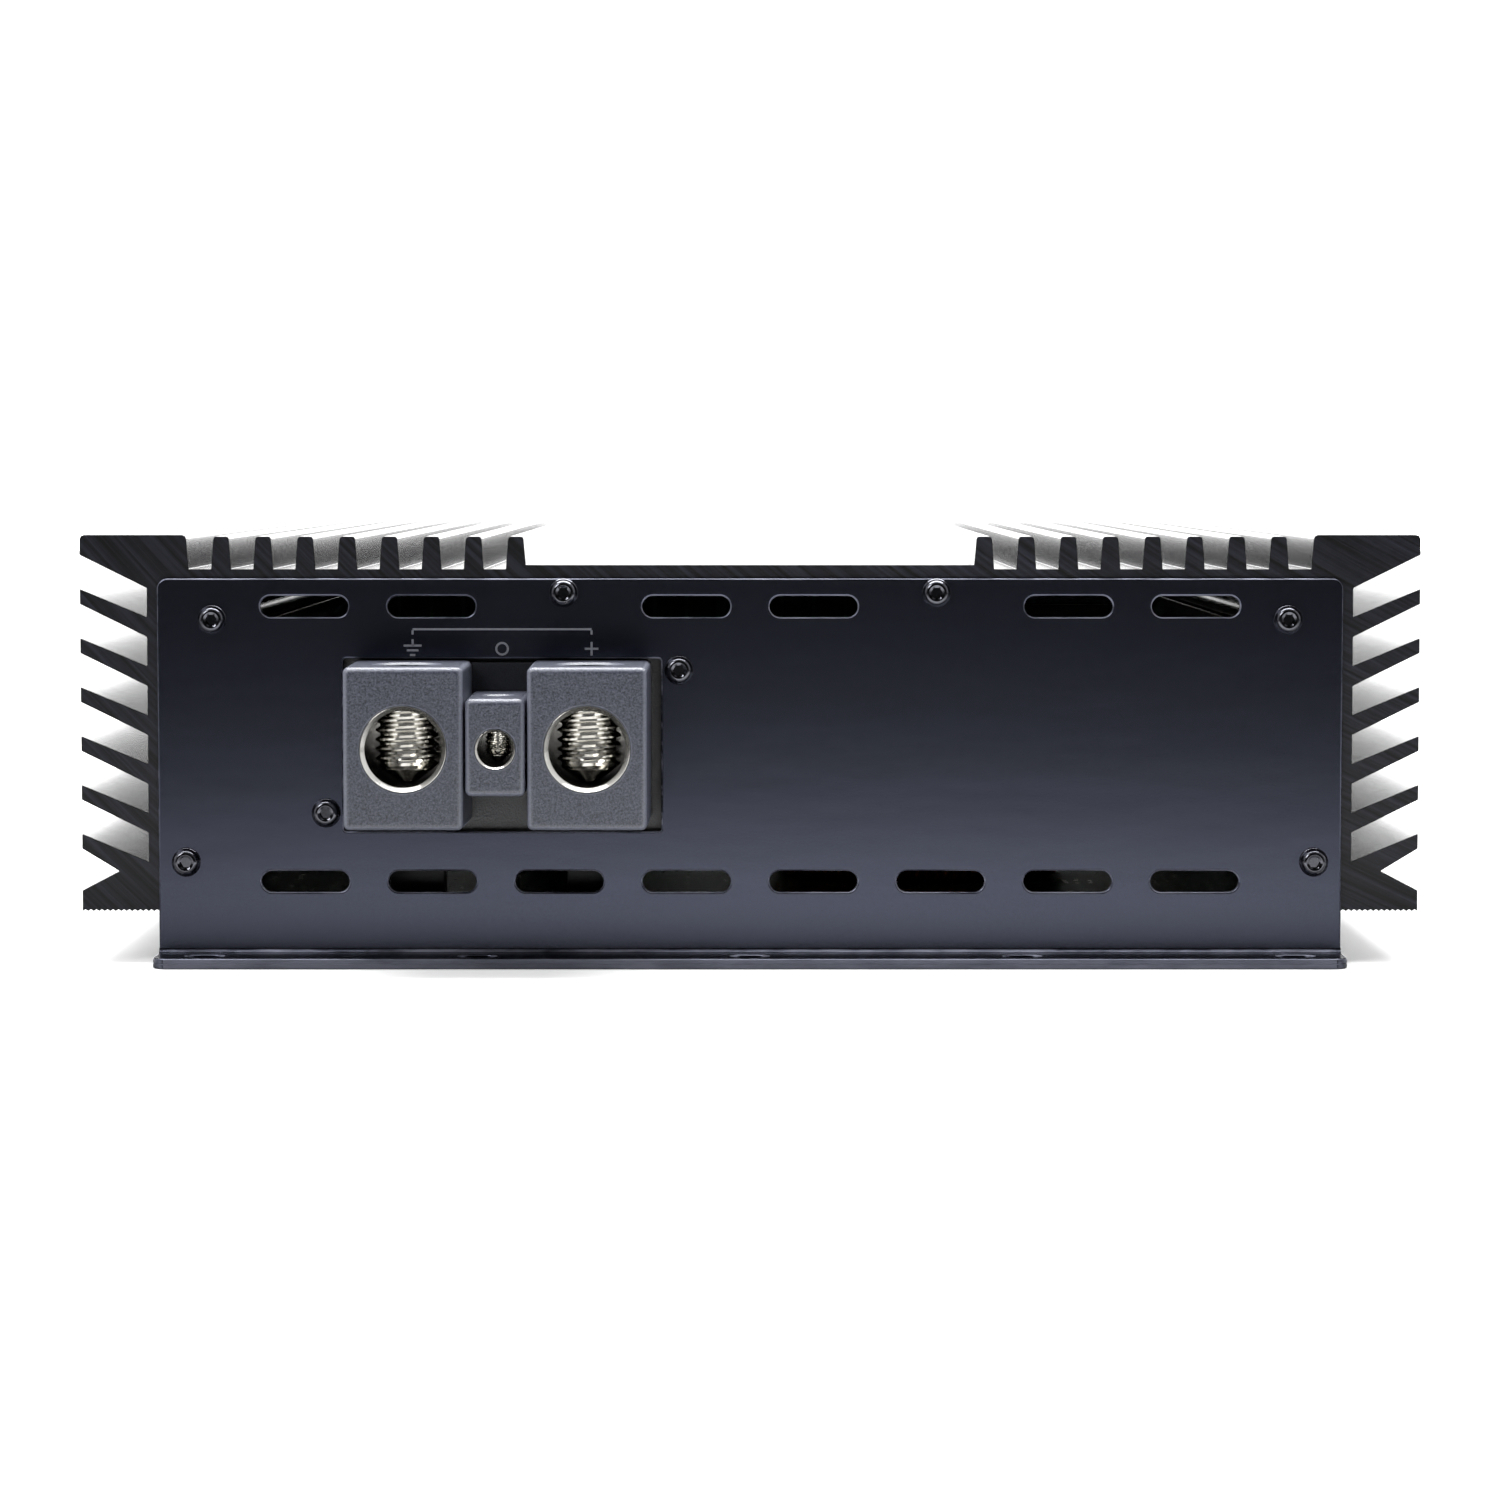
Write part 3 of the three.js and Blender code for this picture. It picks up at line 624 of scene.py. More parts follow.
# ------------------------------------------------------------------ sheet metal
def rounded_outline(low, high, radii, grow=0.0):
    """A rectangle, its lower and upper corners rounded by the two radii. grow moves its line outwards."""
    lower, upper = radii
    points = []
    for x_side, z_side, start in ((1, -1, -90), (1, 1, 0), (-1, 1, 90), (-1, -1, 180)):
        x = (high[0] if x_side > 0 else low[0]) + x_side * grow
        z = (high[1] if z_side > 0 else low[1]) + z_side * grow
        radius = lower if z_side < 0 else upper
        if radius == 0:
            points.append((x, z))
            continue
        radius += grow
        points += arc((x - x_side * radius, z - z_side * radius), radius, start, start + 90, 8)
    return points


def sheet(name, outer, openings, thickness, rim):
    """A flat sheet facing +Z with its face at z = 0. Outer and openings are (low, high, (radius, radius)).

    Every edge is rounded by rim on the face and by a quarter of it on the back.
    """
    vertices = []
    faces = []
    face_loops = []
    back_loops = []
    small = rim / 4
    for index, (low, high, radii) in enumerate((outer, *openings)):
        inwards = -1 if index == 0 else 1
        turns = (0, 0.4, 0.8, 1.2, math.pi / 2)
        rows = [(rim * (1 - math.sin(turn)), -rim * (1 - math.cos(turn))) for turn in turns]
        rows += [(0, small - thickness), (small, -thickness)]
        first = len(vertices)
        for offset, z in rows:
            loop = rounded_outline(low, high, radii, inwards * offset)
            vertices += [(a, b, z) for a, b in loop]
        count = (len(vertices) - first) // len(rows)
        edge = walls(first, count, len(rows))
        faces += edge if index else [quad[::-1] for quad in edge]
        face_loops.append(list(range(first, first + count)))
        back_loops.append(list(range(first + (len(rows) - 1) * count, first + len(rows) * count)))
    for loops, up in ((face_loops, True), (back_loops, False)):
        flat = [index for loop in loops for index in loop]
        outlines = [[Vector(vertices[index]) for index in loop] for loop in loops]
        for triangle in tessellate_polygon(outlines):
            a, b, c = (Vector(vertices[flat[k]]) for k in triangle)
            upwards = (b - a).cross(c - a).z > 0
            corners = [flat[k] for k in triangle]
            faces.append(tuple(corners if upwards == up else reversed(corners)))
    return mesh_from(name, vertices, faces)


def round_opening(x, z, radius):
    return ((x - radius, z - radius), (x + radius, z + radius), (radius, radius))


def slot_opening(x, z, length, height):
    half = height / 2
    return ((x - length / 2, z - half), (x + length / 2, z + half), (half, half))


def window_opening(low, high):
    return (low, high, mm(0.5, 0.5))


def mirrored(x, z, radius):
    return [round_opening(side * x, z, radius) for side in (-1, 1)]


def mount_openings(y):
    """The row of slots in one flange and in the cover under it."""
    return [slot_opening(i * MOUNT_PITCH, y, *MOUNT_SLOT) for i in range(-2, 3)]


def vent_openings():
    """The same row of slots to the left and to the right; places count outwards from the middle."""
    openings = []
    for z, places in VENT_ROWS:
        for place in places:
            for side in (-1, 1):
                openings.append(slot_opening(side * VENT_PITCH * (place + 0.5), z, *VENT_SLOT))
    return openings


def end_plate(node, openings):
    """The upright sheet, the bend at its foot and the flange that turns outwards, in that order."""
    half = PLATE_HIGH.x
    screws = [hole for x, z in PLATE_SCREWS for hole in mirrored(x, z, SCREW_HOLE)]
    outer = ((-half, FLANGE_TOP + BEND - SHEET / 2), (half, PLATE_HIGH.z), mm(0, 2))
    upright = sheet("upright", outer, [*vent_openings(), *screws, *openings], SHEET, 0.38 * MM)
    moved(upright, (0, PLATE_FACE, 0), Z_TO_MINUS_Y)

    bend_y = PLATE_FACE - BEND
    bend_z = FLANGE_TOP + BEND
    section = arc((bend_y, bend_z), BEND + SHEET, -90, 0, 10)
    section += arc((bend_y, bend_z), BEND, 0, -90, 10)
    # Drawn as (y, z) along the sheet's width, then stood up so that the drawing's height runs along X.
    bend = prism("bend", section, -half, half)
    bend.transform(Matrix(((0, 0, 1, 0), (1, 0, 0, 0), (0, 1, 0, 0), (0, 0, 0, 1))))

    front = PLATE_LOW.y
    outer = ((-half, front), (half, bend_y + SHEET / 2), mm(3, 0))
    flange = sheet("flange", outer, mount_openings(PLATE_FACE - MOUNT_FROM_FACE), SHEET, 0.3 * MM)
    moved(flange, (0, 0, FLANGE_TOP))

    mesh = merged(node + "_sheet", [upright, bend, flange])
    mesh.transform(end_turn(node))
    new_piece(node + "_sheet", mesh, "chassis", "painted_steel", replaces=[node], smooth=30)
    keep_flat(mesh)


def keep_flat(mesh):
    """Faces that lie square to an axis are shaded flat; only the rounded strips between them bend."""
    for polygon in mesh.polygons:
        if max(abs(part) for part in polygon.normal) > 0.9999:
            polygon.use_smooth = False


def power_openings():
    """Window for the power terminals and the holes of their two screws."""
    low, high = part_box("power_terminal_housing")
    edge = 8.2 * MM
    rise = 2.6 * MM
    window = window_opening((low.x + edge, low.z + rise), (high.x - edge, high.z - rise))
    return [window, *[round_opening(x, z, SCREW_HOLE) for x, z in EARS]]


def signal_openings():
    """Window for the speaker terminals and one opening for each jack, knob and other control."""
    low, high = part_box("speaker_terminal_housing")
    edge = 3.6 * MM
    rise = 2.8 * MM
    openings = [window_opening((-high.x + edge, low.z + rise), (-low.x - edge, high.z - rise))]
    for name in JACKS:
        openings.append(round_opening(local_x(name), PANEL_AXIS, 6.8 * MM))
    for name in KNOBS:
        openings.append(round_opening(local_x(name + "_knob"), PANEL_AXIS, 3.5 * MM))
    openings.append(round_opening(local_x("status_light"), PANEL_AXIS, 1.8 * MM))
    for name, half_width, half_height in (
        ("phase_switch_body", 3.8 * MM, 1.9 * MM),
        ("remote_level_port", 6.8 * MM, 6.3 * MM),
    ):
        x = local_x(name)
        low = (x - half_width, PANEL_AXIS - half_height)
        openings.append(window_opening(low, (x + half_width, PANEL_AXIS + half_height)))
    return openings


def bottom_cover():
    """The flat cover: slots under both flanges, and a countersink for each of its screws."""
    low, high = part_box("bottom_cover")
    outer = ((low.x, low.y), (high.x, high.y), mm(3, 3))
    reach = -PLATE_FACE + MOUNT_FROM_FACE
    openings = [*mount_openings(-reach), *mount_openings(reach)]
    for x, y in COVER_SCREWS:
        openings.append(round_opening(x, y, 2.6 * MM))
    mesh = sheet("bottom_cover_sheet", outer, openings, high.z, 0.3 * MM)
    mesh.transform(Matrix.Rotation(math.pi, 4, "X"))
    new_piece("bottom_cover_sheet", mesh, "chassis", "painted_steel", replaces=["bottom_cover"], smooth=30)
    keep_flat(mesh)


# ------------------------------------------------------------------ fasteners
def button_screw_mesh():
    """Button head towards -Y with a hexagon socket; the underside of the head is at the origin."""
    head, height, shank, length = 2.75 * MM, 1.9 * MM, 1.4 * MM, 9 * MM
    rim = 0.5 * MM
    flat = 1.55 * MM
    profile = [(0, -length), (0.8 * MM, -length), (shank, -length + MM), (shank, 0)]
    profile += arc((head - 0.12 * MM, 0.12 * MM), 0.12 * MM, -90, 0, 3)
    profile += arc((head - 0.12 * MM, rim - 0.12 * MM), 0.12 * MM, 0, 60, 3)
    # The dome: a quarter ellipse from the rim up to the flat round the socket.
    reach = head - 0.2 * MM - flat
    rise = height - rim
    for i in range(1, 11):
        turn = math.radians(90 * i / 10)
        profile.append((flat + reach * math.cos(turn), rim + rise * math.sin(turn)))
    profile.append((0, height))
    mesh = lathe("button_screw", profile, 48)
    mouth = [
        (0, height - 0.3 * MM),
        (1.05 * MM, height - 0.3 * MM),
        (1.6 * MM, height + 0.1 * MM),
        (0, height + 0.1 * MM),
    ]
    socket = prism("socket", hexagon_points(2.0 * MM), height - 1.3 * MM, height + MM)
    mesh = combine("button_screw", mesh, [(CUT, lathe("mouth", mouth, 48)), (CUT, socket)])
    return moved(mesh, (0, 0, 0), Z_TO_MINUS_Y)


def countersunk_screw_mesh():
    profile = [
        mm(0, 0.02),
        mm(2.4, 0.02),
        mm(2.5, 0.08),
        mm(1.35, 1.15),
        mm(1.35, 6.5),
        mm(0.8, 7.5),
        mm(0, 7.5),
    ]
    mesh = lathe("countersunk_screw", profile, 40)
    socket = prism("socket", hexagon_points(2.0 * MM), -MM, 0.9 * MM)
    return combine("countersunk_screw", mesh, [(CUT, socket)])


def fasteners():
    """One button screw mesh for each end, one countersunk mesh, and a piece for every screw in the frame."""
    button = button_screw_mesh()
    button_signal = button.copy()
    button_signal.transform(HALF_TURN)
    countersunk = countersunk_screw_mesh()
    for name in [n for n in nodes if "_plate_screw_" in n or "_housing_screw_" in n]:
        at_power_end = name.startswith("power")
        middle = middle_of(name)
        face = PLATE_FACE if at_power_end else -PLATE_FACE
        mesh = button if at_power_end else button_signal
        new_piece(name + "_head", mesh, "chassis", "black_screw", (middle.x, face, middle.z), [name], 50)
    for name in [n for n in nodes if n.startswith("cover_screw_")]:
        middle = middle_of(name)
        new_piece(name + "_head", countersunk, "chassis", "black_screw", (middle.x, middle.y, 0), [name])


# ------------------------------------------------------------------ screw terminals
def terminal_block(name, shape, x):
    """One block of a moulding: slightly narrower at its front, with rounded edges."""
    low = (x - shape.half_width, BLOCK_FRONT, TERMINAL_AXIS - shape.down)
    high = (x + shape.half_width, PLATE_FACE + 6 * MM, TERMINAL_AXIS + shape.up)
    return box_mesh(name, low, high, 1.15 * MM, 5, 0.2 * MM)


def terminal_cuts(name, shape, x):
    """Pocket for the barrel, round hole for its nose, and the hole that reaches its set screw."""
    low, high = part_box(name + "_barrel")
    half = (high.x - low.x) / 2 + 0.3 * MM
    rise = half * 1.22
    pocket = box_mesh(
        "pocket",
        (x - half, BLOCK_FRONT + FRONT_WALL, TERMINAL_AXIS - rise),
        (x + half, PLATE_FACE + 10 * MM, TERMINAL_AXIS + rise),
    )
    hole = shape.nose + 0.1 * MM
    chamfer = 0.25 * MM
    nose = [(0, -FRONT_WALL - MM), (hole, -FRONT_WALL - MM), (hole, -chamfer)]
    nose += [(hole + chamfer, 0), (hole + chamfer, MM), (0, MM)]
    top = shape.up
    access = [(0, 0), (shape.access, 0), (shape.access, top - 0.5 * MM)]
    access += [(shape.access + 0.5 * MM, top), (shape.access + 0.5 * MM, top + MM), (0, top + MM)]
    screw_y = -abs(middle_of(name + "_set_screw").y)
    return [
        (CUT, pocket),
        (CUT, rod_y("nose", nose, x, BLOCK_FRONT, TERMINAL_AXIS)),
        (CUT, moved(lathe("access", access, 64), (x, screw_y, TERMINAL_AXIS))),
    ]


def terminal_housing(node, terminals, ears):
    """The moulding of one end: a base behind the plate, a web between the blocks, and the blocks."""
    low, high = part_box(node)
    turn = end_turn(node)
    places = [(name, TERMINALS[name], local_x(name + "_barrel")) for name in terminals]
    sides = (low.x, high.x) if turn == Matrix.Identity(4) else (-high.x, -low.x)
    base_front = PLATE_FACE + 3 * MM
    body = box_mesh("base", (sides[0], base_front, low.z), (sides[1], base_front + 3 * MM, high.z))
    first = places[0][1]
    xs = [x for _, _, x in places]
    web = box_mesh(
        "web",
        (min(xs), PLATE_FACE - 0.2 * MM, TERMINAL_AXIS - first.down + 0.4 * MM),
        (max(xs), base_front + MM, TERMINAL_AXIS + first.up - 0.4 * MM),
    )
    steps = [(JOIN, web)]
    for x, z in ears:
        boss = drum(3.6 * MM, -5 * MM, -SHEET)
        hole = drum(SCREW_HOLE, -8 * MM, MM)
        steps.append((JOIN, rod_y("boss", boss, x, PLATE_FACE, z, 32)))
        steps.append((CUT, rod_y("hole", hole, x, PLATE_FACE, z, 32)))
    for name, shape, x in places:
        steps.append((JOIN, terminal_block(name + "_block", shape, x)))
    for name, shape, x in places:
        steps += terminal_cuts(name, shape, x)
    mesh = combine(node + "_moulded", body, steps)
    mesh.transform(turn)
    new_piece(node + "_moulded", mesh, "chassis", "terminal_moulding", replaces=[node], smooth=30)
    keep_flat(mesh)


def barrels():
    """A metal block with a lipped round nose and a tapped hole, and a leg down to the board in a black
    sleeve that is painted shade for the dark inside of the case.
    """
    for name, shape in TERMINALS.items():
        node = name + "_barrel"
        low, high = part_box(node)
        turn = end_turn(node)
        x = local_x(node)
        half = (high.x - low.x) / 2
        rise = high.z - TERMINAL_AXIS
        back = -abs(low.y if low.y > 0 else high.y)
        depth = abs(middle_of(name + "_set_screw").y)
        screw_low, screw_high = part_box(name + "_set_screw")
        bore_end = -depth + (screw_high.x - screw_low.x) / 2 + 4 * MM
        lip = 0.12 * (shape.nose - shape.bore)
        body = box_mesh(
            "block",
            (x - half, BLOCK_FRONT + FRONT_WALL + 0.15 * MM, TERMINAL_AXIS - rise),
            (x + half, PLATE_FACE + 8 * MM, TERMINAL_AXIS + rise),
            0.3 * MM,
            2,
        )
        nose = [(0, -FRONT_WALL - MM), (shape.nose, -FRONT_WALL - MM)]
        nose += arc((shape.nose - lip, -lip), lip, 0, 90, 5)
        nose.append((0, 0))
        # A wide cone leads into the bore; it is what catches the light round each opening.
        cone = 0.86 * (shape.nose - shape.bore)
        mouth = [(0, BLOCK_FRONT - bore_end), (shape.bore, BLOCK_FRONT - bore_end), (shape.bore, -cone)]
        mouth += [(shape.bore + cone, 0), (shape.bore + cone, MM), (0, MM)]
        tapped = prism("tapped", circle_points(shape.access - 0.25 * MM), 0, rise + MM)
        mesh = combine(
            node + "_machined",
            body,
            [
                (JOIN, rod_y("nose", nose, x, BLOCK_FRONT, TERMINAL_AXIS, 72)),
                (CUT, rod_y("mouth", mouth, x, BLOCK_FRONT, TERMINAL_AXIS, 72)),
                (CUT, moved(tapped, (x, -depth, TERMINAL_AXIS))),
            ],
        )
        mesh.transform(turn)
        new_piece(node + "_machined", mesh, "chassis", "nickel_plate", replaces=[node], smooth=30)
        # The black sleeve over the leg and its tail is painted shade: it keeps the legs dark where the
        # inside of the case lies in shade.
        left, right = x - half * 0.6, x + half * 0.6
        leg = box_mesh("leg", (left, back - 5 * MM, low.z), (right, back, TERMINAL_AXIS), 0.5 * MM, 3)
        tail_low = (left, PLATE_FACE + 7 * MM, TERMINAL_AXIS - rise + MM)
        tail = box_mesh("tail", tail_low, (right, back - MM, TERMINAL_AXIS - MM), 0.5 * MM, 3)
        sleeve = combine(node + "_sleeve", leg, [(JOIN, tail)])
        sleeve.transform(turn)
        new_piece(node + "_sleeve", sleeve, "chassis", "component_black", replaces=[node], smooth=30)


def helix_body(name, radius, height, pitch, around):
    """A right-hand trapezoid thread whose mesh lines follow the helix, with chamfered ends."""
    depth = pitch * 0.46
    # One pitch of the section: (share of the pitch, share of the depth cut away).
    section = ((0.0, 1.0), (0.1, 1.0), (0.4, 0.0), (0.6, 0.0), (0.9, 1.0))
    pitches = int(height / pitch) + 3
    rows = [((k + share) * pitch, cut) for k in range(-1, pitches - 1) for share, cut in section]
    body = bmesh.new()
    columns = []
    for i in range(around):
        turn = 2 * math.pi * i / around
        column = []
        for base, cut in rows:
            z = min(max(base + pitch * i / around, 0.0), height)
            edge = min(z, height - z)
            r = min(radius - depth * cut, radius - depth * 1.05 + edge * 1.1)
            column.append(body.verts.new((r * math.cos(turn), r * math.sin(turn), z)))
        columns.append(column)
    # Once round, the helix has climbed by one pitch, which is one section further up the first column.
    last = len(rows) - 1
    climbed = [columns[0][min(k + len(section), last)] for k in range(len(rows))]
    for i in range(around):
        near = columns[i]
        far = columns[i + 1] if i + 1 < around else climbed
        for k in range(last):
            corners = []
            for vertex in (near[k], far[k], far[k + 1], near[k + 1]):
                if vertex not in corners:
                    corners.append(vertex)
            if len(corners) > 2:
                body.faces.new(corners)
    bmesh.ops.remove_doubles(body, verts=body.verts[:], dist=1e-7)
    bmesh.ops.dissolve_degenerate(body, edges=body.edges[:], dist=1e-7)
    loose = [vertex for vertex in body.verts if not vertex.link_faces]
    bmesh.ops.delete(body, geom=loose, context="VERTS")
    bmesh.ops.holes_fill(body, edges=[edge for edge in body.edges if edge.is_boundary], sides=0)
    bmesh.ops.recalc_face_normals(body, faces=body.faces[:])
    mesh = bpy.data.meshes.new(name)
    body.to_mesh(mesh)
    body.free()
    return mesh


def threaded_screw(name, radius, height, pitch, socket):
    """A set screw: the threaded body, a hexagon socket in its top and a seat for the foot's swivel."""
    around = 72
    body = helix_body(name, radius, height, pitch, around)
    hole = prism("socket", hexagon_points(socket), height * 0.5, height + MM)
    mouth = [
        (0, height - 0.1 * radius),
        (socket * 0.5, height - 0.1 * radius),
        (socket * 0.64, height + 0.1 * radius),
        (0, height + 0.1 * radius),
    ]
    swivel = prism("swivel", circle_points(radius * 0.3 + 0.2 * MM, 32), -MM, radius * 0.45)
    steps = [(CUT, lathe("mouth", mouth, around)), (CUT, hole), (CUT, swivel)]
    return combine(name, body, steps)


def terminal_screws():
    made = {}
    for name, shape in TERMINALS.items():
        node = name + "_set_screw"
        low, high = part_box(node)
        radius = (high.x - low.x) / 2
        if shape not in made:
            height = high.z - low.z
            made[shape] = threaded_screw(name + "_thread", radius, height, shape.pitch, shape.socket)
        body = name + "_screw"
        new_piece(node + "_threaded", made[shape], body, "nickel_plate", foot_of(node), [node], 30)


def pressure_pads():
    for name in TERMINALS:
        node = name + "_pressure_pad"
        low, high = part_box(node)
        r = (high.x - low.x) / 2 / 0.82
        height = (high.z - low.z) / 1.8
        profile = [(0, 0), (r * 0.2, 0)]
        profile += arc((r * 0.2, r * 0.1), r * 0.1, -90, -45, 4)
        profile += [
            (r * 0.79, height * 0.9),
            (r * 0.82, height * 0.95),
            (r * 0.81, height),
            (r * 0.3, height),
            (r * 0.3, height * 1.8),
            (0, height * 1.8),
        ]
        mesh = lathe(node + "_turned", profile, 48)
        new_piece(node + "_turned", mesh, name + "_pad", "nickel_plate", foot_of(node), [node], 35)


# ------------------------------------------------------------------ controls and jacks of the signal end
def fluted_cap(name, radius, front, back):
    """A knob cap along +Z from back to front: flutes round its side, a rounded front edge."""
    flutes = 22
    around = flutes * 8
    flute = 0.35 * MM
    round_edge = 0.8 * MM
    rows = [(0.0, back), (0.0, front - round_edge)]
    rows += [(round_edge - r, h) for r, h in arc((0, front - round_edge), round_edge, 0, 90, 5)]
    vertices = []
    for inset, height in rows:
        for i in range(around):
            turn = 2 * math.pi * i / around
            fade = 1 - inset / round_edge
            depth = flute * fade * max(0.0, math.sin(turn * flutes)) ** 2
            r = radius - inset - depth
            vertices.append((r * math.cos(turn), r * math.sin(turn), height))
    faces = [tuple(reversed(range(around))), tuple(range((len(rows) - 1) * around, len(rows) * around))]
    return mesh_from(name, vertices, faces + walls(0, around, len(rows)))


def knobs():
    """Fluted caps with a pale line in a groove across the front. Heights count out from the plate."""
    cap = fluted_cap("cap", 6.0 * MM, 9.0 * MM, 1.0 * MM)
    shaft = prism("shaft", circle_points(3.0 * MM, 40), -8.9 * MM, 2.0 * MM)
    groove = box_mesh("groove", mm(-0.55, -7.2, 8.3), mm(0.55, -0.8, 10))
    knob = combine("knob", cap, [(JOIN, shaft), (CUT, groove)])
    line = box_mesh("line", mm(-0.4, -5.4, 8.25), mm(0.4, -1.0, 8.4))
    # Drawn along +Z with the pointer at -Y, then laid down to face outwards with the pointer up.
    lay_down = HALF_TURN @ Z_TO_MINUS_Y @ HALF_TURN
    for mesh in (knob, line):
        mesh.transform(lay_down)
    for name in KNOBS:
        node = name + "_knob"
        middle = middle_of(node)
        place = (middle.x, -PLATE_FACE, middle.z)
        body = name + "_control"
        new_piece(node + "_fluted", knob, body, "black_plastic", place, [node], 35)
        new_piece(node + "_pointer", line, body, "printed_ink", place, [node])


def phono_jacks():
    """Nickel shells with a coloured insulator round the centre hole, and a coloured ring on the panel."""
    for name, look in JACKS.items():
        x = local_x(name)
        depth = 13 * MM
        shell = [mm(0, -9), mm(4.15, -9)]
        shell += arc(mm(3.85, 9.7), 0.3 * MM, 0, 90, 4)
        shell += [mm(3.5, 10), mm(3.3, 9.8), mm(3.3, 9.0), mm(0, 9.0)]
        hole = prism("hole", circle_points(1.7 * MM, 40), 10 * MM - depth, 11 * MM)
        outer = combine(name + "_shell", lathe("shell", shell, 64), [(CUT, hole)])
        face = plain_ring("face", 1.6 * MM, 3.25 * MM, 8.9 * MM, 9.5 * MM)
        lining = plain_ring("lining", 1.45 * MM, 1.65 * MM, -2.9 * MM, 9.45 * MM)
        insulator = merged(name + "_insulator", [face, lining])
        collar = plain_ring(name + "_collar", 4.6 * MM, 6.1 * MM, 2.3 * MM, 2.9 * MM)
        for mesh in (outer, insulator, collar):
            moved(mesh, (x, PLATE_FACE, PANEL_AXIS), Z_TO_MINUS_Y)
            mesh.transform(HALF_TURN)
        new_piece(name + "_shell", outer, "chassis", "nickel_plate", replaces=[name], smooth=35)
        new_piece(name + "_insulator", insulator, "chassis", look, replaces=[name], smooth=35)
        new_piece(name + "_collar", collar, "chassis", look, replaces=["rca_jack_housing"], smooth=35)
    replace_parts(jack_base(), "rca_jack_housing")


def jack_base():
    """The black block behind the phono jacks, with a raised ring round each."""
    low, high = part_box("rca_jack_housing")
    x_low, x_high = -high.x, -low.x
    front = PLATE_FACE + SHEET
    body = box_mesh("jack_base", (x_low, front, low.z), (x_high, front + 12 * MM, high.z), 0.4 * MM, 2)
    steps = []
    for name in JACKS:
        x = local_x(name)
        boss = [mm(0, -3), mm(6.4, -3)]
        boss += arc(mm(6.0, 2.1), 0.4 * MM, 0, 90, 4)
        boss.append(mm(0, 2.5))
        hole = drum(4.4 * MM, -20 * MM, 4 * MM)
        steps.append((JOIN, rod_y("boss", boss, x, PLATE_FACE, PANEL_AXIS)))
        steps.append((CUT, rod_y("hole", hole, x, PLATE_FACE, PANEL_AXIS)))
    mesh = combine("jack_base", body, steps)
    mesh.transform(HALF_TURN)
    return new_piece("rca_jack_base", mesh, "chassis", "black_plastic", smooth=35)


def status_lamp():
    x = local_x("status_light")
    profile = [(0, 0), mm(1.9, 0), mm(1.9, 9), mm(1.45, 9), mm(1.45, 13.2)]
    profile += arc(mm(0, 13.2), 1.45 * MM, 10, 80, 6)
    profile.append(mm(0, 14.65))
    mesh = rod_y("lamp", profile, x, PLATE_FACE + 13 * MM, PANEL_AXIS, 48)
    mesh.transform(HALF_TURN)
    new_piece("status_light_lens", mesh, "chassis", "light_lens", replaces=["status_light"], smooth=35)


# ------------------------------------------------------------------ printed marks
def mark_bar(x, z, width, height):
    """A thin printed bar centred at (x, z) on the power end's plate."""
    low = (x - width / 2, PLATE_FACE - 0.02 * MM, z - height / 2)
    high = (x + width / 2, PLATE_FACE + 0.02 * MM, z + height / 2)
    return box_mesh("bar", low, high)


def mark_ring(x, z, radius, stroke):
    mesh = plain_ring("ring", radius - stroke / 2, radius + stroke / 2, -0.02 * MM, 0.02 * MM, 40)
    return moved(mesh, (x, PLATE_FACE, z), Z_TO_MINUS_Y)


def earth_mark(x, z):
    """Three bars that shorten downwards, under a short stem."""
    stroke = 0.4 * MM
    bars = [mark_bar(x, z + 1.2 * MM, stroke, 1.2 * MM)]
    for row, width in enumerate((3.4, 2.2, 1.0)):
        bars.append(mark_bar(x, z + (0.6 - 0.9 * row) * MM, width * MM, stroke))
    return bars


def sign_mark(x, z, plus):
    """A minus, or a plus."""
    size = 2.6 * MM
    stroke = size * 0.16
    bars = [mark_bar(x, z, size, stroke)]
    if plus:
        reach = (size - stroke) / 2
        for side in (-1, 1):
            bars.append(mark_bar(x, z + side * (reach + stroke) / 2, stroke, reach))
    return bars


def power_marks():
    """Generic symbols over the terminals: earth, switched wire and plus, with a bracket over all three."""
    row = 59.9 * MM
    left, middle, right = (local_x(n + "_barrel") for n in ("gnd", "remote", "positive"))
    marks = earth_mark(left, row) + sign_mark(right, row, True)
    marks.append(mark_ring(middle, row, 1.1 * MM, 0.4 * MM))
    top = 63.6 * MM
    marks.append(mark_bar((left + right) / 2, top, right - left, 0.4 * MM))
    for x in (left, right):
        marks.append(mark_bar(x, top - 0.6 * MM, 0.4 * MM, 0.8 * MM))
    new_piece("power_marks", merged("power_marks", marks), "chassis", "printed_ink")


def dial_ticks(x, z, radius):
    """Tick marks round a knob over its travel; the first, middle and last are longer."""
    count = 11
    reach = 140
    marks = []
    for i in range(count):
        angle = math.radians(-reach + 2 * reach * i / (count - 1))
        length = 1.8 * MM if i in (0, count // 2, count - 1) else 1.0 * MM
        tick = mark_bar(0, radius + length / 2, 0.35 * MM, length)
        spin = Matrix.Rotation(angle, 4, "Y")
        marks.append(moved(tick, (x, 0, z), spin))
    return marks


